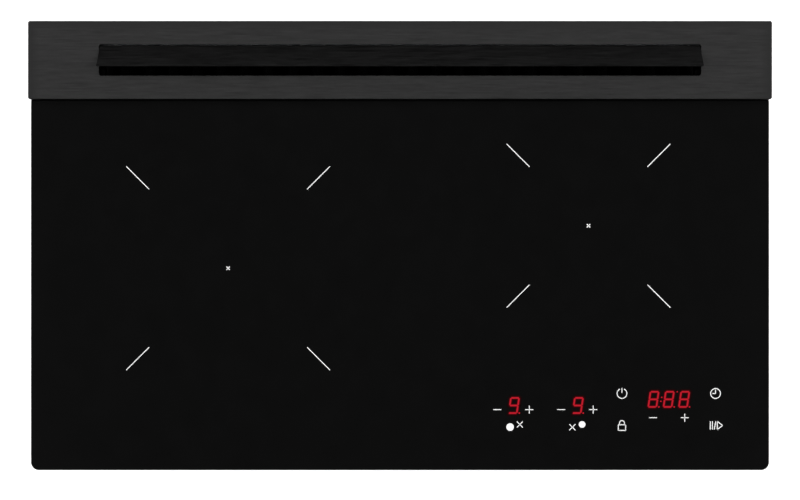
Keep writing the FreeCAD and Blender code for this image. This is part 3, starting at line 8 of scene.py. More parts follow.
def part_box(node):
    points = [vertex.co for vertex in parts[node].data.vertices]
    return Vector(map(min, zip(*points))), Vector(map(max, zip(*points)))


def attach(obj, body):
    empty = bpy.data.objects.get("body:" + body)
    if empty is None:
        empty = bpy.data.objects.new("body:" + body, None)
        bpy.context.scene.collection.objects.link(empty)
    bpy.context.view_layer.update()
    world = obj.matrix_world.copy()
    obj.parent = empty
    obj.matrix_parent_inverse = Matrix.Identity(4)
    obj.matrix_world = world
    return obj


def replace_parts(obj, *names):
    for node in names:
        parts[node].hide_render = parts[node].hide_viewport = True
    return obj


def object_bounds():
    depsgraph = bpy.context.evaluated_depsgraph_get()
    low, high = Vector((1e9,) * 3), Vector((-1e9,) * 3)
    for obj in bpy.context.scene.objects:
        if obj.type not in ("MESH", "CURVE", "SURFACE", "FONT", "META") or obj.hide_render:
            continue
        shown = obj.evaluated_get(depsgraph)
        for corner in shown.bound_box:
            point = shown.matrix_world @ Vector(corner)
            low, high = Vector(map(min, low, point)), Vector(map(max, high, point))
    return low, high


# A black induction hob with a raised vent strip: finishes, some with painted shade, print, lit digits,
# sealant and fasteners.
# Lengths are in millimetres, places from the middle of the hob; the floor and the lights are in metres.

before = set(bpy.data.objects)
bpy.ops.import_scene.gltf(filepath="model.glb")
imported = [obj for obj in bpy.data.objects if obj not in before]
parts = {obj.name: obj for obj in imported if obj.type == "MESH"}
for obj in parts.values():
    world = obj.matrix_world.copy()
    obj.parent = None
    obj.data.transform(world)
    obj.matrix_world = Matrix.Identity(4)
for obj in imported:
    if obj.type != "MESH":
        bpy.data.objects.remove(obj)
cad_low, cad_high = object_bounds()
MM = 0.001
TOLERANCE = 1e-4


# Finishes

class Finish:
    """A finish made of nodes: even values sit on the shader, patterns follow the piece's own coordinates."""

    def __init__(self, name, **even):
        self.material = bpy.data.materials.new(name)
        self.material.use_nodes = True
        self.tree = self.material.node_tree
        self.shader = self.tree.nodes["Principled BSDF"]
        for socket, value in even.items():
            self.shader.inputs[socket.replace("_", " ")].default_value = value

    def node(self, kind, links, **settings):
        """A node with its settings and its inputs, each a value or another node's output."""
        made = self.tree.nodes.new(kind)
        for name, value in settings.items():
            setattr(made, name, value)
        for socket, value in links.items():
            if isinstance(value, bpy.types.NodeSocket):
                self.tree.links.new(value, made.inputs[socket])
            else:
                made.inputs[socket].default_value = value
        return made

    def coordinates(self, stretch=(1, 1, 1), steps=None):
        """The piece's coordinates, stretched; in steps of so many millimetres where these are given."""
        place = self.tree.nodes.new("ShaderNodeTexCoord").outputs["Object"]
        if steps:
            place = self.node("ShaderNodeVectorMath", {0: place, 1: Vector(steps) * MM},
                              operation="SNAP").outputs["Vector"]
        return self.node("ShaderNodeMapping", {"Vector": place, "Scale": stretch}).outputs["Vector"]

    def noise(self, per_metre, detail=3.0, stretch=(1, 1, 1), roughness=0.55, steps=None):
        """Cloudy noise, so many features to the metre."""
        place = self.coordinates(stretch, steps)
        return self.node("ShaderNodeTexNoise", {"Vector": place, "Scale": per_metre, "Detail": detail,
                                                "Roughness": roughness}).outputs["Fac"]

    def brush_marks(self):
        """Straight marks of a brush drawn along X, each beside the next."""
        along, across = 0.45, 1.1
        return self.noise(1.0, stretch=(40, 3000, 3000), roughness=0.6, steps=(along, across, across))

    def cells(self, per_metre, stretch=(1, 1, 1), feature="F1", output="Distance"):
        """A pattern of cells."""
        return self.node("ShaderNodeTexVoronoi", {"Vector": self.coordinates(stretch), "Scale": per_metre},
                         feature=feature).outputs[output]

    def lines(self, per_metre, direction, distortion=0.0):
        """Even lines across one direction."""
        return self.node("ShaderNodeTexWave", {"Vector": self.coordinates(), "Scale": per_metre,
                                               "Distortion": distortion},
                         bands_direction=direction).outputs["Fac"]

    def along(self, axis):
        """The place along one axis."""
        return self.node("ShaderNodeSeparateXYZ", {"Vector": self.coordinates()}).outputs[axis]

    def past(self, axis, start, end):
        """Nought up to one place along an axis in millimetres, one past another, and a ramp between them."""
        return self.node("ShaderNodeMapRange", {"Value": self.along(axis), "From Min": start * MM,
                                                "From Max": end * MM}).outputs["Result"]

    def inside(self, low, high, reach):
        """Nought at the upright sides of a box in metres, one beyond a reach in millimetres from them."""
        depths = []
        for axis, near, far in zip("XY", low, high):
            off_middle = self.reckon("SUBTRACT", self.along(axis), (near + far) / 2)
            depths.append(self.reckon("SUBTRACT", (far - near) / 2, self.reckon("ABSOLUTE", off_middle)))
        nearest = self.reckon("MINIMUM", *depths)
        return self.node("ShaderNodeMapRange", {"Value": nearest, "From Max": reach * MM}).outputs["Result"]

    def reckon(self, operation, *values):
        """One step of arithmetic on patterns and numbers."""
        return self.node("ShaderNodeMath", dict(enumerate(values)), operation=operation).outputs["Value"]

    def mixed(self, share, first, second):
        """Two patterns in one."""
        return self.node("ShaderNodeMix", {"Factor": share, "A": first, "B": second}).outputs["Result"]

    def colour(self, pattern, *stops, socket="Base Color"):
        """Colour from a pattern: pairs of place and colour."""
        ramp = self.node("ShaderNodeValToRGB", {"Fac": pattern})
        elements = ramp.color_ramp.elements
        while len(elements) < len(stops):
            elements.new(0.5)
        for element, (place, tone) in zip(elements, stops):
            element.position = place
            element.color = (*tone, 1.0) if isinstance(tone, tuple) else (tone, tone, tone, 1.0)
        self.tree.links.new(ramp.outputs["Color"], self.shader.inputs[socket])
        return self

    def roughness(self, pattern, low, high):
        """Roughness between two values."""
        spread = self.node("ShaderNodeMapRange", {"Value": pattern, "To Min": low, "To Max": high})
        self.tree.links.new(spread.outputs["Result"], self.shader.inputs["Roughness"])
        return self

    def relief(self, pattern, depth, strength):
        """Fine relief of a depth in millimetres."""
        bump = self.node("ShaderNodeBump", {"Height": pattern, "Distance": depth * MM, "Strength": strength})
        self.tree.links.new(bump.outputs["Normal"], self.shader.inputs["Normal"])
        return self


def black_glass():
    """Polished glass-ceramic, black all through, with a faint ripple from rolling."""
    finish = Finish("black_glass", IOR=1.52, Specular_IOR_Level=0.5)
    ripple = finish.noise(9.0, detail=1.0)
    finish.colour(finish.noise(60.0), (0.3, 0.0027), (0.7, 0.0033))
    finish.roughness(finish.noise(400.0, detail=5.0), 0.035, 0.07)
    return finish.relief(ripple, 0.02, 0.2)


def brushed_strip():
    """Dark coated steel, brushed along the strip, with painted shade: darker along its rim and folded sides,
    black on its front.
    """
    finish = Finish("strip_brushed_steel", Metallic=0.3, Specular_IOR_Level=0.05)
    low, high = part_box("vent_strip_cover")
    front, top = low.y / MM, high.z / MM
    hairs = finish.brush_marks()
    bands = finish.noise(1.0, detail=2.0, stretch=(6, 160, 160))
    grain = finish.mixed(0.15, hairs, bands)

    # painted shade darkens a rim along the rear and the ends, and the front edge has none
    shade_rim_width, rim_shade_tone, wall_shade_tone = 9.0, 0.32, 0.6
    shade_rim_start = low - Vector((0, shade_rim_width * MM, 0))
    brushed = finish.mixed(finish.inside(shade_rim_start, high, shade_rim_width), rim_shade_tone, grain)
    # painted shade: the walls below the top are darker, and the front wall is painted black as shade
    sides = finish.reckon("MULTIPLY", finish.past("Y", front + 1.0, front + 3.0), wall_shade_tone)
    # only the top face keeps its full tone; painted shade darkens the edge where the top rounds over, and the
    # walls
    face = finish.reckon("MAXIMUM", finish.past("Z", top - 0.07, top - 0.005), sides)
    finish.colour(finish.reckon("MULTIPLY", face, brushed), (0.0, 0.002), (rim_shade_tone, 0.0194), (0.68, 0.0302))
    finish.roughness(hairs, 0.46, 0.56)
    return finish.relief(hairs, 0.01, 0.2)


def brushed_flap():
    """Satin black steel, brushed like the strip."""
    finish = Finish("flap_black_steel", Specular_IOR_Level=0.03)
    hairs = finish.brush_marks()
    finish.colour(hairs, (0.36, 0.0031), (0.64, 0.009))
    finish.roughness(hairs, 0.46, 0.56)
    return finish.relief(hairs, 0.01, 0.2)


def black_coating(name, dark, light, smooth, rough, specular):
    """Satin black coating on sheet steel, with a faint orange-peel skin."""
    finish = Finish(name, Specular_IOR_Level=specular)
    peel = finish.noise(450.0, detail=2.0)
    finish.colour(finish.noise(40.0, detail=4.0), (0.3, dark), (0.7, light))
    finish.roughness(peel, smooth, rough)
    return finish.relief(peel, 0.01, 0.3)


def expanded_mesh():
    """Black-coated expanded metal: raised strands round small holes."""
    finish = Finish("filter_expanded_mesh", Specular_IOR_Level=0.06)
    strands = finish.cells(260.0, stretch=(0.6, 1, 1), feature="DISTANCE_TO_EDGE")
    finish.colour(strands, (0.05, 0.004), (0.25, 0.0005))
    finish.roughness(strands, 0.5, 0.7)
    return finish.relief(strands, -0.6, 0.8)


def plain_steel(name, dark, light):
    """Bare turned or rolled steel with faint marks."""
    finish = Finish(name, Metallic=1.0)
    marks = finish.noise(900.0, detail=4.0, stretch=(1, 1, 0.3))
    finish.colour(finish.noise(120.0), (0.3, dark), (0.7, light))
    finish.roughness(marks, 0.24, 0.42)
    return finish.relief(marks, 0.01, 0.3)


def galvanised():
    """Zinc-coated sheet with its crystal flowers."""
    finish = Finish("galvanised_sheet", Metallic=0.85)
    flower = finish.cells(140.0, stretch=(1, 1.25, 1.1), output="Color")
    grey = finish.node("ShaderNodeRGBToBW", {"Color": flower}).outputs["Val"]
    cloud = finish.noise(300.0, detail=5.0)
    finish.colour(finish.mixed(0.3, grey, cloud), (0.15, (0.24, 0.255, 0.27)), (0.85, (0.4, 0.415, 0.425)))
    finish.roughness(grey, 0.34, 0.52)
    return finish.relief(cloud, 0.01, 0.3)


def moulded(name, dark, light, smooth=0.42, rough=0.58, grain=0.03):
    """Moulded plastic with a spark-eroded grain."""
    finish = Finish(name, IOR=1.49)
    skin = finish.cells(2600.0, feature="SMOOTH_F1")
    finish.colour(finish.noise(35.0, detail=4.0), (0.3, dark), (0.7, light))
    finish.roughness(finish.noise(700.0), smooth, rough)
    return finish.relief(skin, grain, 0.35)


def rubber(name, dark, light, per_metre, depth, specular=0.3):
    """Foam or silicone rubber with a fine open skin."""
    finish = Finish(name, IOR=1.45, Specular_IOR_Level=specular)
    pores = finish.cells(per_metre)
    finish.colour(pores, (0.1, dark), (0.6, light))
    finish.roughness(pores, 0.72, 0.9)
    return finish.relief(pores, depth, 0.6)


def rolled_aluminium():
    """Mill-finish aluminium with streaks along its rolling direction."""
    finish = Finish("rolled_aluminium", Metallic=1.0)
    streaks = finish.noise(1.0, detail=4.0, stretch=(12, 700, 700))
    finish.colour(streaks, (0.3, (0.6, 0.61, 0.62)), (0.7, (0.74, 0.75, 0.76)))
    finish.roughness(streaks, 0.3, 0.44)
    return finish.relief(streaks, 0.01, 0.3)


def litz_copper():
    """Enamelled copper strands laid in a twist."""
    finish = Finish("litz_copper", Metallic=0.9, Coat_Weight=0.4, Coat_Roughness=0.2)
    strands = finish.lines(330.0, "DIAGONAL", distortion=1.5)
    finish.colour(strands, (0.1, (0.3, 0.1, 0.035)), (0.9, (0.62, 0.26, 0.1)))
    finish.roughness(strands, 0.28, 0.45)
    return finish.relief(strands, 0.15, 0.8)


def fired_ferrite():
    """Pressed and fired iron oxide with specks."""
    finish = Finish("ferrite")
    specks = finish.noise(1500.0, detail=6.0, roughness=0.7)
    finish.colour(specks, (0.35, 0.045), (0.65, 0.09))
    finish.roughness(specks, 0.55, 0.75)
    return finish.relief(specks, 0.03, 0.4)


def mica():
    """Pressed mica with flakes that catch the light."""
    finish = Finish("pressed_mica", IOR=1.58)
    flakes = finish.cells(420.0, stretch=(1, 1.6, 1), output="Color")
    grey = finish.node("ShaderNodeRGBToBW", {"Color": flakes}).outputs["Val"]
    finish.colour(grey, (0.1, (0.42, 0.36, 0.27)), (0.9, (0.66, 0.6, 0.5)))
    finish.roughness(grey, 0.3, 0.6)
    return finish.relief(grey, 0.02, 0.3)


def circuit_board():
    """Green lacquer over copper tracks."""
    finish = Finish("circuit_board", IOR=1.5, Coat_Weight=0.5, Coat_Roughness=0.15)
    tracks = finish.node("ShaderNodeTexBrick", {"Vector": finish.coordinates(), "Scale": 130.0,
                                                "Mortar Size": 0.035, "Brick Width": 0.9, "Row Height": 0.22})
    finish.colour(tracks.outputs["Fac"], (0.0, (0.012, 0.085, 0.035)), (1.0, (0.03, 0.17, 0.07)))
    finish.roughness(finish.noise(500.0), 0.3, 0.45)
    return finish.relief(tracks.outputs["Fac"], 0.035, 0.6)


def motor_steel():
    """Blackened motor steel with its stacked sheets."""
    finish = Finish("motor_steel", Metallic=0.8)
    sheets = finish.lines(330.0, "Y")
    finish.colour(sheets, (0.2, 0.05), (0.8, 0.13))
    finish.roughness(finish.noise(600.0), 0.35, 0.5)
    return finish.relief(sheets, 0.08, 0.5)


def fired_print():
    """White ceramic ink fired on the glass."""
    finish = Finish("fired_print", IOR=1.5)
    speckle = finish.noise(3500.0, detail=3.0)
    finish.colour(speckle, (0.2, 0.86), (0.8, 0.94))
    finish.roughness(speckle, 0.35, 0.5)
    return finish.relief(speckle, 0.004, 0.4)


def lit_segments():
    """Red light-emitting segments seen through the glass; their glow fades down the flanks of each bar."""
    finish = Finish("lit_segments", Emission_Strength=0.66, IOR=1.52)
    cloud = finish.noise(700.0, detail=2.0)
    height = finish.past("Z", GLASS_TOP, GLASS_TOP + INK)
    glow = finish.reckon("MULTIPLY", height, finish.mixed(0.92, cloud, 1.0))
    finish.colour(glow, (0.0, 0.0), (0.4, (0.014, 0.0, 0.0004)), (0.78, (0.07, 0.0006, 0.003)),
                  (0.93, (0.72, 0.011, 0.026)), (1.0, (0.92, 0.022, 0.048)), socket="Emission Color")
    finish.colour(cloud, (0.2, (0.0027, 0.0015, 0.0015)), (0.8, (0.0033, 0.0018, 0.0018)))
    return finish.roughness(cloud, 0.04, 0.07)


hinge_steel = black_coating("hinge_black_steel", 0.003, 0.004, 0.5, 0.6, specular=0.02)
bracket_steel = black_coating("bracket_black_steel", 0.0006, 0.001, 0.6, 0.7, specular=0.01)
filter_steel = black_coating("filter_black_steel", 0.002, 0.004, 0.5, 0.65, specular=0.06)
rod_steel = plain_steel("blued_rod_steel", 0.01, 0.016)
bare_steel = plain_steel("bare_steel", 0.42, 0.58)
black_plastic = moulded("black_moulding", 0.016, 0.026)
grey_plastic = moulded("grey_moulding", 0.3, 0.36, grain=0.02)
foam = rubber("gasket_foam", 0.012, 0.03, per_metre=1400.0, depth=0.12)
silicone = rubber("grey_silicone", 0.24, 0.32, per_metre=2400.0, depth=0.02)
seal = rubber("seam_silicone", 0.0006, 0.0012, per_metre=2400.0, depth=0.01, specular=0.04)
resin = moulded("brown_resin", (0.17, 0.11, 0.06), (0.25, 0.17, 0.1))
capacitor_blue = moulded("blue_case", (0.03, 0.06, 0.24), (0.05, 0.09, 0.34), smooth=0.25, rough=0.35,
                         grain=0.008)

DRESSED = {
    black_glass(): ["glass_ceramic_plate"],
    brushed_strip(): ["vent_strip_cover"],
    brushed_flap(): ["vent_flap"],
    hinge_steel: ["flap_hinge_tube"],
    bracket_steel: ["flap_brackets"],
    filter_steel: ["filter_frame"],
    expanded_mesh(): ["filter_mesh"],
    rod_steel: ["flap_hinge_rod"],
    bare_steel: ["clamp_bolts", "clamp_screws", "plenum_screws", "scroll_screws"],
    galvanised(): ["bottom_casing", "casing_walls", "compartment_wall", "fixing_clamps", "tray_runners"],
    foam: ["worktop_gasket", "touch_pads"],
    seal: ["seam_seal"],
    silicone: ["adhesive_beads", "coil_supports_left", "coil_supports_right", "pan_sensor_left",
               "pan_sensor_right"],
    black_plastic: ["air_plenum", "plenum_cover", "scroll_housing", "scroll_cover", "inlet_ring",
                    "outlet_adapter", "blower_wheel", "drip_tray", "cooling_fan_frame", "cooling_fan_rotor",
                    "cable_gland", "power_transistors", "digit_displays"],
    grey_plastic: ["damper_flap", "terminal_block", "touch_board_carrier", "board_spacers"],
    rolled_aluminium(): ["coil_carrier_plate", "carrier_posts", "heat_sink"],
    litz_copper(): ["coil_winding_left", "coil_winding_right", "choke_coil"],
    fired_ferrite(): ["ferrite_bars_left", "ferrite_bars_right"],
    resin: ["coil_former_left", "coil_former_right"],
    mica(): ["mica_disc_left", "mica_disc_right"],
    circuit_board(): ["power_board", "touch_board"],
    capacitor_blue: ["film_capacitors"],
    motor_steel(): ["motor_stator", "motor_rotor"],
}
for finish, names in DRESSED.items():
    for name in names:
        parts[name].data.materials.clear()
        parts[name].data.materials.append(finish.material)


# Pieces made here

def edges_at(verts, upright):
    """The upright or the level edges at some corners, each once and in the same order each run."""
    edges = dict.fromkeys(edge for vert in verts for edge in vert.link_edges)
    return [edge for edge in edges if (abs(edge.verts[0].co.z - edge.verts[1].co.z) > TOLERANCE) == upright]


def ordered_mesh(name, bm):
    """A mesh with its corners in order of place and its faces in order of corners, the same each run."""
    corners = sorted(bm.verts, key=lambda vert: vert.co[:])
    number = {vert: index for index, vert in enumerate(corners)}
    faces = []
    for face in bm.faces:
        loop = [number[vert] for vert in face.verts]
        # the first corner of a face with many corners decides how it is cut into triangles
        first = loop.index(min(loop)) if len(loop) > 4 else 0
        faces.append(loop[first:] + loop[:first])
    mesh = bpy.data.meshes.new(name)
    mesh.from_pydata([vert.co for vert in corners], [], sorted(faces))
    bm.free()
    return mesh


def new_piece(name, bm, finish, body):
    """Closes a mesh drawn in millimetres and hangs it on its body."""
    bmesh.ops.recalc_face_normals(bm, faces=bm.faces)
    bmesh.ops.scale(bm, vec=(MM, MM, MM), verts=bm.verts)
    mesh = ordered_mesh(name, bm)
    mesh.materials.append(finish.material)
    piece = bpy.data.objects.new(name, mesh)
    bpy.context.scene.collection.objects.link(piece)
    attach(piece, body)
    return piece


# Print on the glass

GLASS_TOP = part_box("glass_ceramic_plate")[1].z / MM
INK = 0.03
FINE_LINE = 0.72
KEY_LINE = 0.68
ARC_STEPS = 32
DOT_SIDES = 40


def between(start, end):
    """The place halfway between two points on the glass, its X along their line, and the line's length."""
    start, end = Vector(start), Vector(end)
    run = end - start
    middle = (start + end) / 2
    place = Matrix.Translation((middle.x, middle.y, GLASS_TOP + INK / 2))
    return place @ Matrix.Rotation(math.atan2(run.y, run.x), 4, "Z"), run.length


def stroke(bm, start, end, width=FINE_LINE):
    """A straight line of ink between two points on the glass."""
    place, length = between(start, end)
    shape = place @ Matrix.Diagonal((length, width, INK, 1))
    return bmesh.ops.create_cube(bm, size=1, matrix=shape)["verts"]


def arc(bm, centre, radius, begin, sweep):
    """A round line of ink; a full turn closes on itself."""
    low, high = radius - FINE_LINE / 2, radius + FINE_LINE / 2
    direction = Vector((math.cos(begin), math.sin(begin), 0))
    base = Vector((*centre, GLASS_TOP))
    corners = [bm.verts.new(base + direction * r + Vector((0, 0, z)))
               for r, z in ((low, 0), (high, 0), (high, INK), (low, INK))]
    section = [bm.edges.new(pair) for pair in zip(corners, corners[1:] + corners[:1])]
    full = abs(sweep - math.tau) < TOLERANCE
    bmesh.ops.spin(bm, geom=corners + section, cent=base, axis=(0, 0, 1), dvec=(0, 0, 0), angle=sweep,
                   steps=ARC_STEPS, use_merge=full)
    if not full:
        bmesh.ops.holes_fill(bm, edges=[edge for edge in bm.edges if edge.is_boundary], sides=4)


def dot(bm, centre, radius):
    """A round spot of ink."""
    bmesh.ops.create_cone(bm, cap_ends=True, segments=DOT_SIDES, radius1=radius, radius2=radius, depth=INK,
                          matrix=Matrix.Translation((*centre, GLASS_TOP + INK / 2)))


def path(bm, *points):
    """Lines of ink from point to point."""
    for start, end in zip(points, points[1:]):
        stroke(bm, start, end)


def cross(bm, centre, half, turned=False, width=FINE_LINE):
    """A plus, or a times sign when turned."""
    x, y = centre
    if turned:
        stroke(bm, (x - half, y - half), (x + half, y + half), width)
        stroke(bm, (x - half, y + half), (x + half, y - half), width)
    else:
        stroke(bm, (x - half, y), (x + half, y), width)
        stroke(bm, (x, y - half), (x, y + half), width)


def print_zone(name, centre, inner, outer):
    """Four slanted marks round a cooking zone and a small cross in its middle."""
    bm = bmesh.new()
    x, y = centre
    for across in (-1, 1):
        for up in (-1, 1):
            stroke(bm, (x + across * inner, y + up * inner), (x + across * outer, y + up * outer))
    cross(bm, centre, half=1.35, turned=True, width=0.85)
    new_piece(name, bm, ink, "hob")


ZONE_KEYS = (79.05, 131.0)
ZONE_KEY_Y = -132.6
KEY_PITCH = 26.0
TIMER_KEY_PITCH = 25.8
KEY_HALF = 3.3


def less_and_more(bm, x, y, pitch):
    """A minus and, a pitch to its right, a plus."""
    stroke(bm, (x - KEY_HALF, y), (x + KEY_HALF, y), KEY_LINE)
    cross(bm, (x + pitch, y), KEY_HALF, width=KEY_LINE)


def power_sign(bm, x, y):
    """A ring that is open at the top, with an upright line in the gap."""
    gap = math.radians(24)
    arc(bm, (x, y), 3.95, math.pi / 2 + gap, math.tau - 2 * gap)
    stroke(bm, (x, y + 0.6), (x, y + 4.4))


def lock_sign(bm, x, foot):
    """A padlock: a box under a shackle, whose legs lap into its arch."""
    half, tall = 3.0, 4.6
    shackle, straight, lap = 2.0, 1.4, 0.2
    top = foot + tall
    path(bm, (x - half, foot), (x + half, foot), (x + half, top), (x - half, top), (x - half, foot))
    for leg in (x - shackle, x + shackle):
        stroke(bm, (leg, top), (leg, top + straight + lap))
    arc(bm, (x, top + straight), shackle, 0.0, math.pi)


def clock_sign(bm, x, y):
    """A ring with two hands."""
    arc(bm, (x, y), 4.0, 0.0, math.tau)
    path(bm, (x, y + 3.0), (x, y), (x - 2.5, y))


def pause_sign(bm, x, foot):
    """Two upright bars, a slanted bar and an arrowhead."""
    top = foot + 6.75
    second, slant_foot, slant_top, back, tip = (x + step for step in (1.7, 3.2, 4.4, 5.65, 9.95))
    for low, high in ((x, x), (second, second), (slant_foot, slant_top)):
        stroke(bm, (low, foot), (high, top))
    path(bm, (back, foot), (tip, (foot + top) / 2), (back, top), (back, foot))


def print_keys():
    """Symbols of the touch keys."""
    bm = bmesh.new()
    for x in ZONE_KEYS:
        less_and_more(bm, x, ZONE_KEY_Y, KEY_PITCH)
    less_and_more(bm, 205.6, -139.15, TIMER_KEY_PITCH)

    # a spot and a cross tell which zone a pair of keys belongs to
    dot(bm, (89.5, -146.8), radius=3.1)
    cross(bm, (97.4, -144.7), half=2.4, turned=True)
    dot(bm, (148.0, -144.7), radius=2.75)
    cross(bm, (140.1, -146.9), half=2.5, turned=True)

    power_sign(bm, 180.4, -119.5)
    lock_sign(bm, 180.4, -149.5)
    clock_sign(bm, 256.45, -119.5)
    pause_sign(bm, 252.2, -148.85)
    new_piece("key_symbols", bm, ink, "hob")


# Lit digits

DIGIT_HALF_WIDTH = 3.3
DIGIT_HALF_HEIGHT = 6.15
DIGIT_LINE = 0.95
DIGIT_SLANT = 0.15
DIGIT_GLOW = 1.9
DIGIT_POINT_STEP = 4.4
DIGIT_POINT_RADIUS = 0.65
SEGMENT_GAP = 0.3
SEGMENT_POINT = 0.45 * DIGIT_LINE
SEGMENT_ENDS = {
    "top": ((-1, 1), (1, 1)),
    "upper_right": ((1, 1), (1, 0)),
    "lower_right": ((1, 0), (1, -1)),
    "bottom": ((1, -1), (-1, -1)),
    "lower_left": ((-1, -1), (-1, 0)),
    "upper_left": ((-1, 0), (-1, 1)),
    "middle": ((-1, 0), (1, 0)),
}
NINE = ("top", "upper_right", "lower_right", "bottom", "upper_left", "middle")


def glowing_bar(bm, start, end):
    """One lit segment with pointed ends; its foot is wider than its top by the reach of the glow."""
    place, length = between(start, end)
    bar = stroke(bm, start, end, DIGIT_LINE)
    made = bmesh.ops.bevel(bm, geom=edges_at(bar, upright=True), offset=SEGMENT_POINT, offset_type="OFFSET",
                           affect="EDGES", segments=1, profile=0.5, material=-1)["verts"]
    foot = [vert for vert in made if vert.co.z < GLASS_TOP + INK / 2]
    spread = (1 + 2 * DIGIT_GLOW / length, 1 + 2 * DIGIT_GLOW / DIGIT_LINE, 1)
    bmesh.ops.scale(bm, vec=spread, verts=foot, space=place.inverted())
    return made


def lit_digit(bm, centre, segments):
    """One slanted seven-segment digit with its point."""
    made = []
    for name in segments:
        start, end = (Vector((x * DIGIT_HALF_WIDTH, y * DIGIT_HALF_HEIGHT)) for x, y in SEGMENT_ENDS[name])
        run = (end - start).normalized() * SEGMENT_GAP
        made += glowing_bar(bm, start + run, end - run)
    slant = Matrix.Identity(4)
    slant[0][1] = DIGIT_SLANT
    lean = Matrix.Translation((*centre, 0)) @ slant
    bmesh.ops.transform(bm, matrix=lean, verts=[vert for vert in dict.fromkeys(made) if vert.is_valid])
    dot(bm, (centre[0] + DIGIT_POINT_STEP, centre[1] - DIGIT_HALF_HEIGHT), DIGIT_POINT_RADIUS)


def light_digits():
    """The power display between each zone's keys, and the timer with its colon and its upper point."""
    bm = bmesh.new()
    display_step, display_y = 13.5, -129.25
    for x in ZONE_KEYS:
        lit_digit(bm, (x + display_step, display_y), NINE)
    timer_y = -124.25
    for x in (206.0, 218.4, 230.9):
        lit_digit(bm, (x, timer_y), SEGMENT_ENDS)
    for x, rise in ((212.7, 1.6), (212.0, -1.6), (225.3, DIGIT_HALF_HEIGHT)):
        dot(bm, (x, timer_y + rise), radius=0.6)
    new_piece("lit_digits", bm, lit_segments(), "hob")


ink = fired_print()
print_zone("zone_marks_left", (-139.7, -17.7), inner=64.2, outer=82.8)
print_zone("zone_marks_right", (153.2, 16.8), inner=47.9, outer=66.5)
print_keys()
light_digits()


# Sealant, and painted shade at the seam's ends

BEAD_WIDTH = 2.4
BEAD_DEPTH = 2.2
BEAD_INSET = 0.2
BEAD_ROUND = 0.15


def seal_and_shade_seam_ends():
    """A bead of black sealant at each end of the seam, in the corner between the glass and the strip; its
    black stands in for the shade in that corner.
    """
    bm = bmesh.new()
    glass_low, glass_high = (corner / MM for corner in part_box("glass_ceramic_plate"))
    low, high = glass_low.z, glass_high.z - BEAD_INSET
    for side in (-1, 1):
        outer = side * (glass_high.x - BEAD_INSET)
        middle = (outer - side * BEAD_WIDTH / 2, glass_high.y + BEAD_DEPTH / 2, (low + high) / 2)
        shape = Matrix.Translation(middle) @ Matrix.Diagonal((BEAD_WIDTH, BEAD_DEPTH, high - low, 1))
        bmesh.ops.create_cube(bm, size=1, matrix=shape)
    bmesh.ops.bevel(bm, geom=bm.edges[:], offset=BEAD_ROUND, offset_type="OFFSET", affect="EDGES",
                    segments=2, profile=0.5, material=-1)
    # the near-black beads are painted shade in these corners as well as sealant
    new_piece("seam_end_beads", bm, seal, "hob")


seal_and_shade_seam_ends()


# Fasteners

HEADS_UP = Matrix.Identity(4)
HEADS_DOWN = Matrix.Rotation(math.pi, 4, "X")
HEADS_FRONT = Matrix.Rotation(math.pi / 2, 4, "X")
SCREW_RADIUS = 2.0
HEAD_RADIUS = 4.0
HEAD_HEIGHT = 2.0
RECESS_DEPTH = 1.4
RECESS_TAPER = 0.7


def pan_screw(reach):
    """One screw along Z with a domed head and a cross recess; its origin is the seat under the head."""
    bm = bmesh.new()
    outline = [(0.6 * HEAD_RADIUS, HEAD_HEIGHT), (0.88 * HEAD_RADIUS, 0.75 * HEAD_HEIGHT),
               (HEAD_RADIUS, 0.35 * HEAD_HEIGHT), (HEAD_RADIUS, 0), (SCREW_RADIUS, 0), (SCREW_RADIUS, -reach)]
    points = [bm.verts.new((radius, 0, z)) for radius, z in outline]
    section = [bm.edges.new(pair) for pair in zip(points, points[1:])]
    bmesh.ops.spin(bm, geom=points + section, cent=(0, 0, 0), axis=(0, 0, 1), dvec=(0, 0, 0), angle=math.tau,
                   steps=24, use_merge=True)
    ends = [edge for edge in bm.edges if edge.is_boundary]
    top = [edge for edge in ends if edge.verts[0].co.z > 0]
    bmesh.ops.edgeloop_fill(bm, edges=[edge for edge in ends if edge.verts[0].co.z < 0])

    arm, half = 0.48 * HEAD_RADIUS, 0.13 * HEAD_RADIUS
    corners = []
    for quarter in range(4):
        turn = Matrix.Rotation(quarter * math.pi / 2, 3, "Z")
        corners += [bm.verts.new(turn @ Vector((x, y, HEAD_HEIGHT)))
                    for x, y in ((arm, -half), (arm, half), (half, half))]
    rim = [bm.edges.new(pair) for pair in zip(corners, corners[1:] + corners[:1])]
    bmesh.ops.subdivide_edges(bm, edges=rim, cuts=1)
    recess = [edge for edge in bm.edges if not edge.link_faces]
    bmesh.ops.bridge_loops(bm, edges=top + recess)
    sunk = bmesh.ops.extrude_edge_only(bm, edges=recess)["geom"]
    floor = [item for item in sunk if isinstance(item, bmesh.types.BMVert)]
    bmesh.ops.scale(bm, vec=(RECESS_TAPER, RECESS_TAPER, 1), verts=floor)
    bmesh.ops.translate(bm, vec=(0, 0, -RECESS_DEPTH), verts=floor)
    bmesh.ops.edgeloop_fill(bm, edges=[item for item in sunk if isinstance(item, bmesh.types.BMEdge)
                                       and item.is_boundary])
    return bm


def repeat(bm, places, turn):
    """Turns a finished fastener and stands it at each of its places."""
    first = bm.verts[:]
    whole = first + bm.edges[:] + bm.faces[:]
    for place in places[1:]:
        copy = bmesh.ops.duplicate(bm, geom=whole)["geom"]
        bmesh.ops.transform(bm, matrix=Matrix.Translation(place) @ turn,
                            verts=[item for item in copy if isinstance(item, bmesh.types.BMVert)])
    bmesh.ops.transform(bm, matrix=Matrix.Translation(places[0]) @ turn, verts=first)


def drive_screws(node, seats, turn, reach):
    """Screws at their seats in place of a node's plain ones."""
    bm = pan_screw(reach)
    repeat(bm, seats, turn)
    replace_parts(new_piece(f"driven_{node}", bm, bare_steel, "hob"), node)


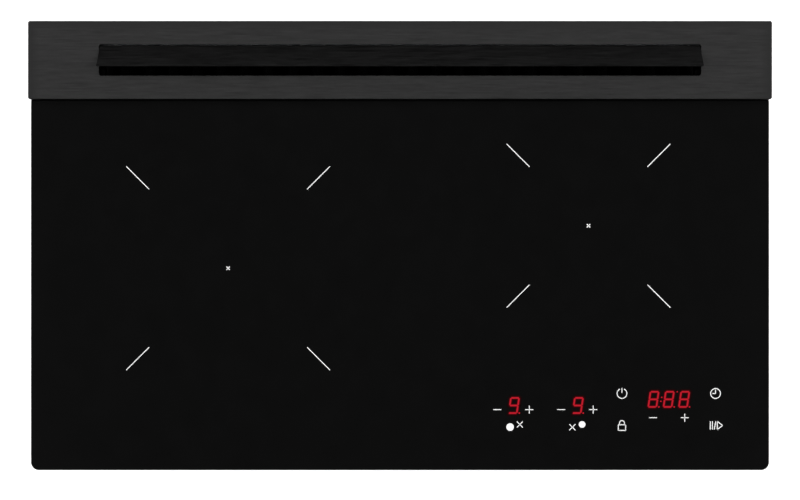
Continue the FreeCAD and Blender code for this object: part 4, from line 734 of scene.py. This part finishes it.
BOLT_RADIUS = 2.5
THREAD_PITCH = 0.8
THREAD_DEPTH = 0.45
THREAD_LAP = 0.1
THREAD_STEPS = 16
BOLT_HEAD_RADIUS = 5.0
BOLT_END_HEIGHT = 4.0
FOOT_RADIUS = 6.0
EDGE_BREAK = 0.5


def broken_edges(bm, radius, height, sides, low):
    """An upright disc or hexagon with its end edges broken."""
    made = bmesh.ops.create_cone(bm, cap_ends=True, segments=sides, radius1=radius, radius2=radius,
                                 depth=height, matrix=Matrix.Translation((0, 0, low + height / 2)))["verts"]
    bmesh.ops.bevel(bm, geom=edges_at(made, upright=False), offset=EDGE_BREAK, offset_type="OFFSET",
                    affect="EDGES", segments=1, profile=0.5, material=-1)


def foot_bolt(length):
    """One clamp bolt: a hexagon head, a threaded shank and a round foot on top."""
    bm = bmesh.new()
    core = BOLT_RADIUS - THREAD_DEPTH
    shank_top = length - BOLT_END_HEIGHT
    broken_edges(bm, BOLT_HEAD_RADIUS, BOLT_END_HEIGHT, sides=6, low=0.0)
    broken_edges(bm, FOOT_RADIUS, BOLT_END_HEIGHT, sides=40, low=shank_top)
    bmesh.ops.create_cone(bm, cap_ends=True, segments=20, radius1=core, radius2=core, depth=shank_top,
                          matrix=Matrix.Translation((0, 0, shank_top / 2)))

    # one tooth of the thread winds up the shank
    start = BOLT_END_HEIGHT
    half = 0.45 * THREAD_PITCH
    inside = core - THREAD_LAP
    tooth = [bm.verts.new((radius, 0, z)) for radius, z in ((inside, start), (BOLT_RADIUS, start + half),
                                                            (inside, start + 2 * half))]
    loop = [bm.edges.new(pair) for pair in zip(tooth, tooth[1:] + tooth[:1])]
    turns = int((shank_top - start) / THREAD_PITCH) - 1
    first = bmesh.ops.contextual_create(bm, geom=loop)["faces"]
    bmesh.ops.spin(bm, geom=first, cent=(0, 0, 0), axis=(0, 0, 1), dvec=(0, 0, THREAD_PITCH / THREAD_STEPS),
                   angle=math.tau * turns, steps=THREAD_STEPS * turns)
    return bm


def stand_bolts():
    """The four clamp bolts with real threads, in place of the plain ones."""
    low, high = (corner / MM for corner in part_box("clamp_bolts"))
    bm = foot_bolt(high.z - low.z)
    places = [(x, y, low.z) for x in (low.x + FOOT_RADIUS, high.x - FOOT_RADIUS)
              for y in (low.y + FOOT_RADIUS, high.y - FOOT_RADIUS)]
    repeat(bm, places, HEADS_UP)
    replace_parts(new_piece("threaded_clamp_bolts", bm, bare_steel, "hob"), "clamp_bolts")


CLAMP_X, CLAMP_Y = 261, 100
TAB_X, TAB_Y = 258, 144.35
SCROLL_COVER = 2.0
SCROLL_EARS = ((29.62, -74.38), (-86.7, -77.3), (-83.77, -207.77), (52.25, -148.75))
clamp_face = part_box("fixing_clamps")[0].z / MM
clamp_seats = [(x, y, clamp_face) for x in (-CLAMP_X, CLAMP_X) for y in (-CLAMP_Y, CLAMP_Y)]
scroll_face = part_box("scroll_housing")[0].y / MM - SCROLL_COVER
scroll_seats = [(x, scroll_face, z) for x, z in SCROLL_EARS]
tab_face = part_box("plenum_screws")[1].z / MM - HEAD_HEIGHT
tab_seats = [(x, TAB_Y, tab_face) for x in (-TAB_X, TAB_X)]
drive_screws("clamp_screws", clamp_seats, HEADS_DOWN, reach=5.0)
drive_screws("scroll_screws", scroll_seats, HEADS_FRONT, reach=19.5)
drive_screws("plenum_screws", tab_seats, HEADS_UP, reach=4.5)
stand_bolts()


# Studio

def studio_floor():
    """A plain pale floor that glows a little, like a light table, just below the lowest piece."""
    half_width, clearance = 30.0, 0.0005
    bm = bmesh.new()
    bmesh.ops.create_grid(bm, x_segments=1, y_segments=1, size=half_width)
    mesh = bpy.data.meshes.new("studio_floor")
    bm.to_mesh(mesh)
    bm.free()
    finish = Finish("pale_floor", Emission_Color=(1, 1, 1, 1), Emission_Strength=0.6, Specular_IOR_Level=0.0)
    finish.colour(finish.noise(3.0), (0.3, 0.8), (0.7, 0.83))
    finish.roughness(finish.noise(20.0), 0.85, 0.95)
    mesh.materials.append(finish.material)
    mesh.transform(Matrix.Translation((0, 0, cad_low.z - clearance)))
    floor = bpy.data.objects.new("studio_floor", mesh)
    bpy.context.scene.collection.objects.link(floor)


LIGHT_DISTANCE = 5.0


def soft_box(name, azimuth, elevation, watts, width, height):
    """A large soft light that faces the hob; azimuth 0 stands at the front."""
    around, up = math.radians(azimuth), math.radians(elevation)
    away = Vector((math.sin(around) * math.cos(up), -math.cos(around) * math.cos(up), math.sin(up)))
    light = bpy.data.lights.new(name, "AREA")
    light.shape = "RECTANGLE"
    light.size, light.size_y = width, height
    light.energy = watts
    lamp = bpy.data.objects.new(name, light)
    lamp.location = away * LIGHT_DISTANCE
    lamp.rotation_euler = away.to_track_quat("Z", "Y").to_euler()
    lamp.visible_camera = False
    bpy.context.scene.collection.objects.link(lamp)


def studio_sky():
    """A pale horizon that fades to a dark ceiling, so that the glass mirrors black from above."""
    world = bpy.data.worlds.new("studio_sky")
    world.use_nodes = True
    tree = world.node_tree
    direction = tree.nodes.new("ShaderNodeTexCoord")
    split = tree.nodes.new("ShaderNodeSeparateXYZ")
    ramp = tree.nodes.new("ShaderNodeValToRGB")
    ramp.color_ramp.elements.new(0.5)
    tones = ((0.0, 0.72), (0.06, 0.35), (0.7, 0.03))
    for element, (rise, tone) in zip(ramp.color_ramp.elements, tones):
        element.position = rise
        element.color = (tone, tone, tone, 1)
    tree.links.new(direction.outputs["Generated"], split.inputs["Vector"])
    tree.links.new(split.outputs["Z"], ramp.inputs["Fac"])
    tree.links.new(ramp.outputs["Color"], tree.nodes["Background"].inputs["Color"])
    bpy.context.scene.world = world


def overhead_camera():
    """A camera straight above the hob, as the photograph was taken."""
    height_above_glass, width_of_view, middle_y = 1048.5, 650.2, -2.88
    camera = bpy.data.cameras.new("overhead_camera")
    camera.sensor_width = 36.0
    camera.lens = camera.sensor_width * height_above_glass / width_of_view
    camera.clip_start, camera.clip_end = 0.05, 100.0
    holder = bpy.data.objects.new("overhead_camera", camera)
    holder.location = (0, middle_y * MM, (GLASS_TOP + height_above_glass) * MM)
    bpy.context.scene.collection.objects.link(holder)
    bpy.context.scene.camera = holder


studio_floor()
soft_box("left_light", azimuth=-85, elevation=56, watts=110, width=2.8, height=1.9)
soft_box("right_light", azimuth=85, elevation=56, watts=110, width=2.8, height=1.9)
soft_box("rear_light", azimuth=180, elevation=60, watts=84, width=2.8, height=1.9)
soft_box("front_fill", azimuth=0, elevation=35, watts=30, width=3.4, height=1.9)
studio_sky()
overhead_camera()
bpy.context.scene.view_settings.view_transform = "Standard"
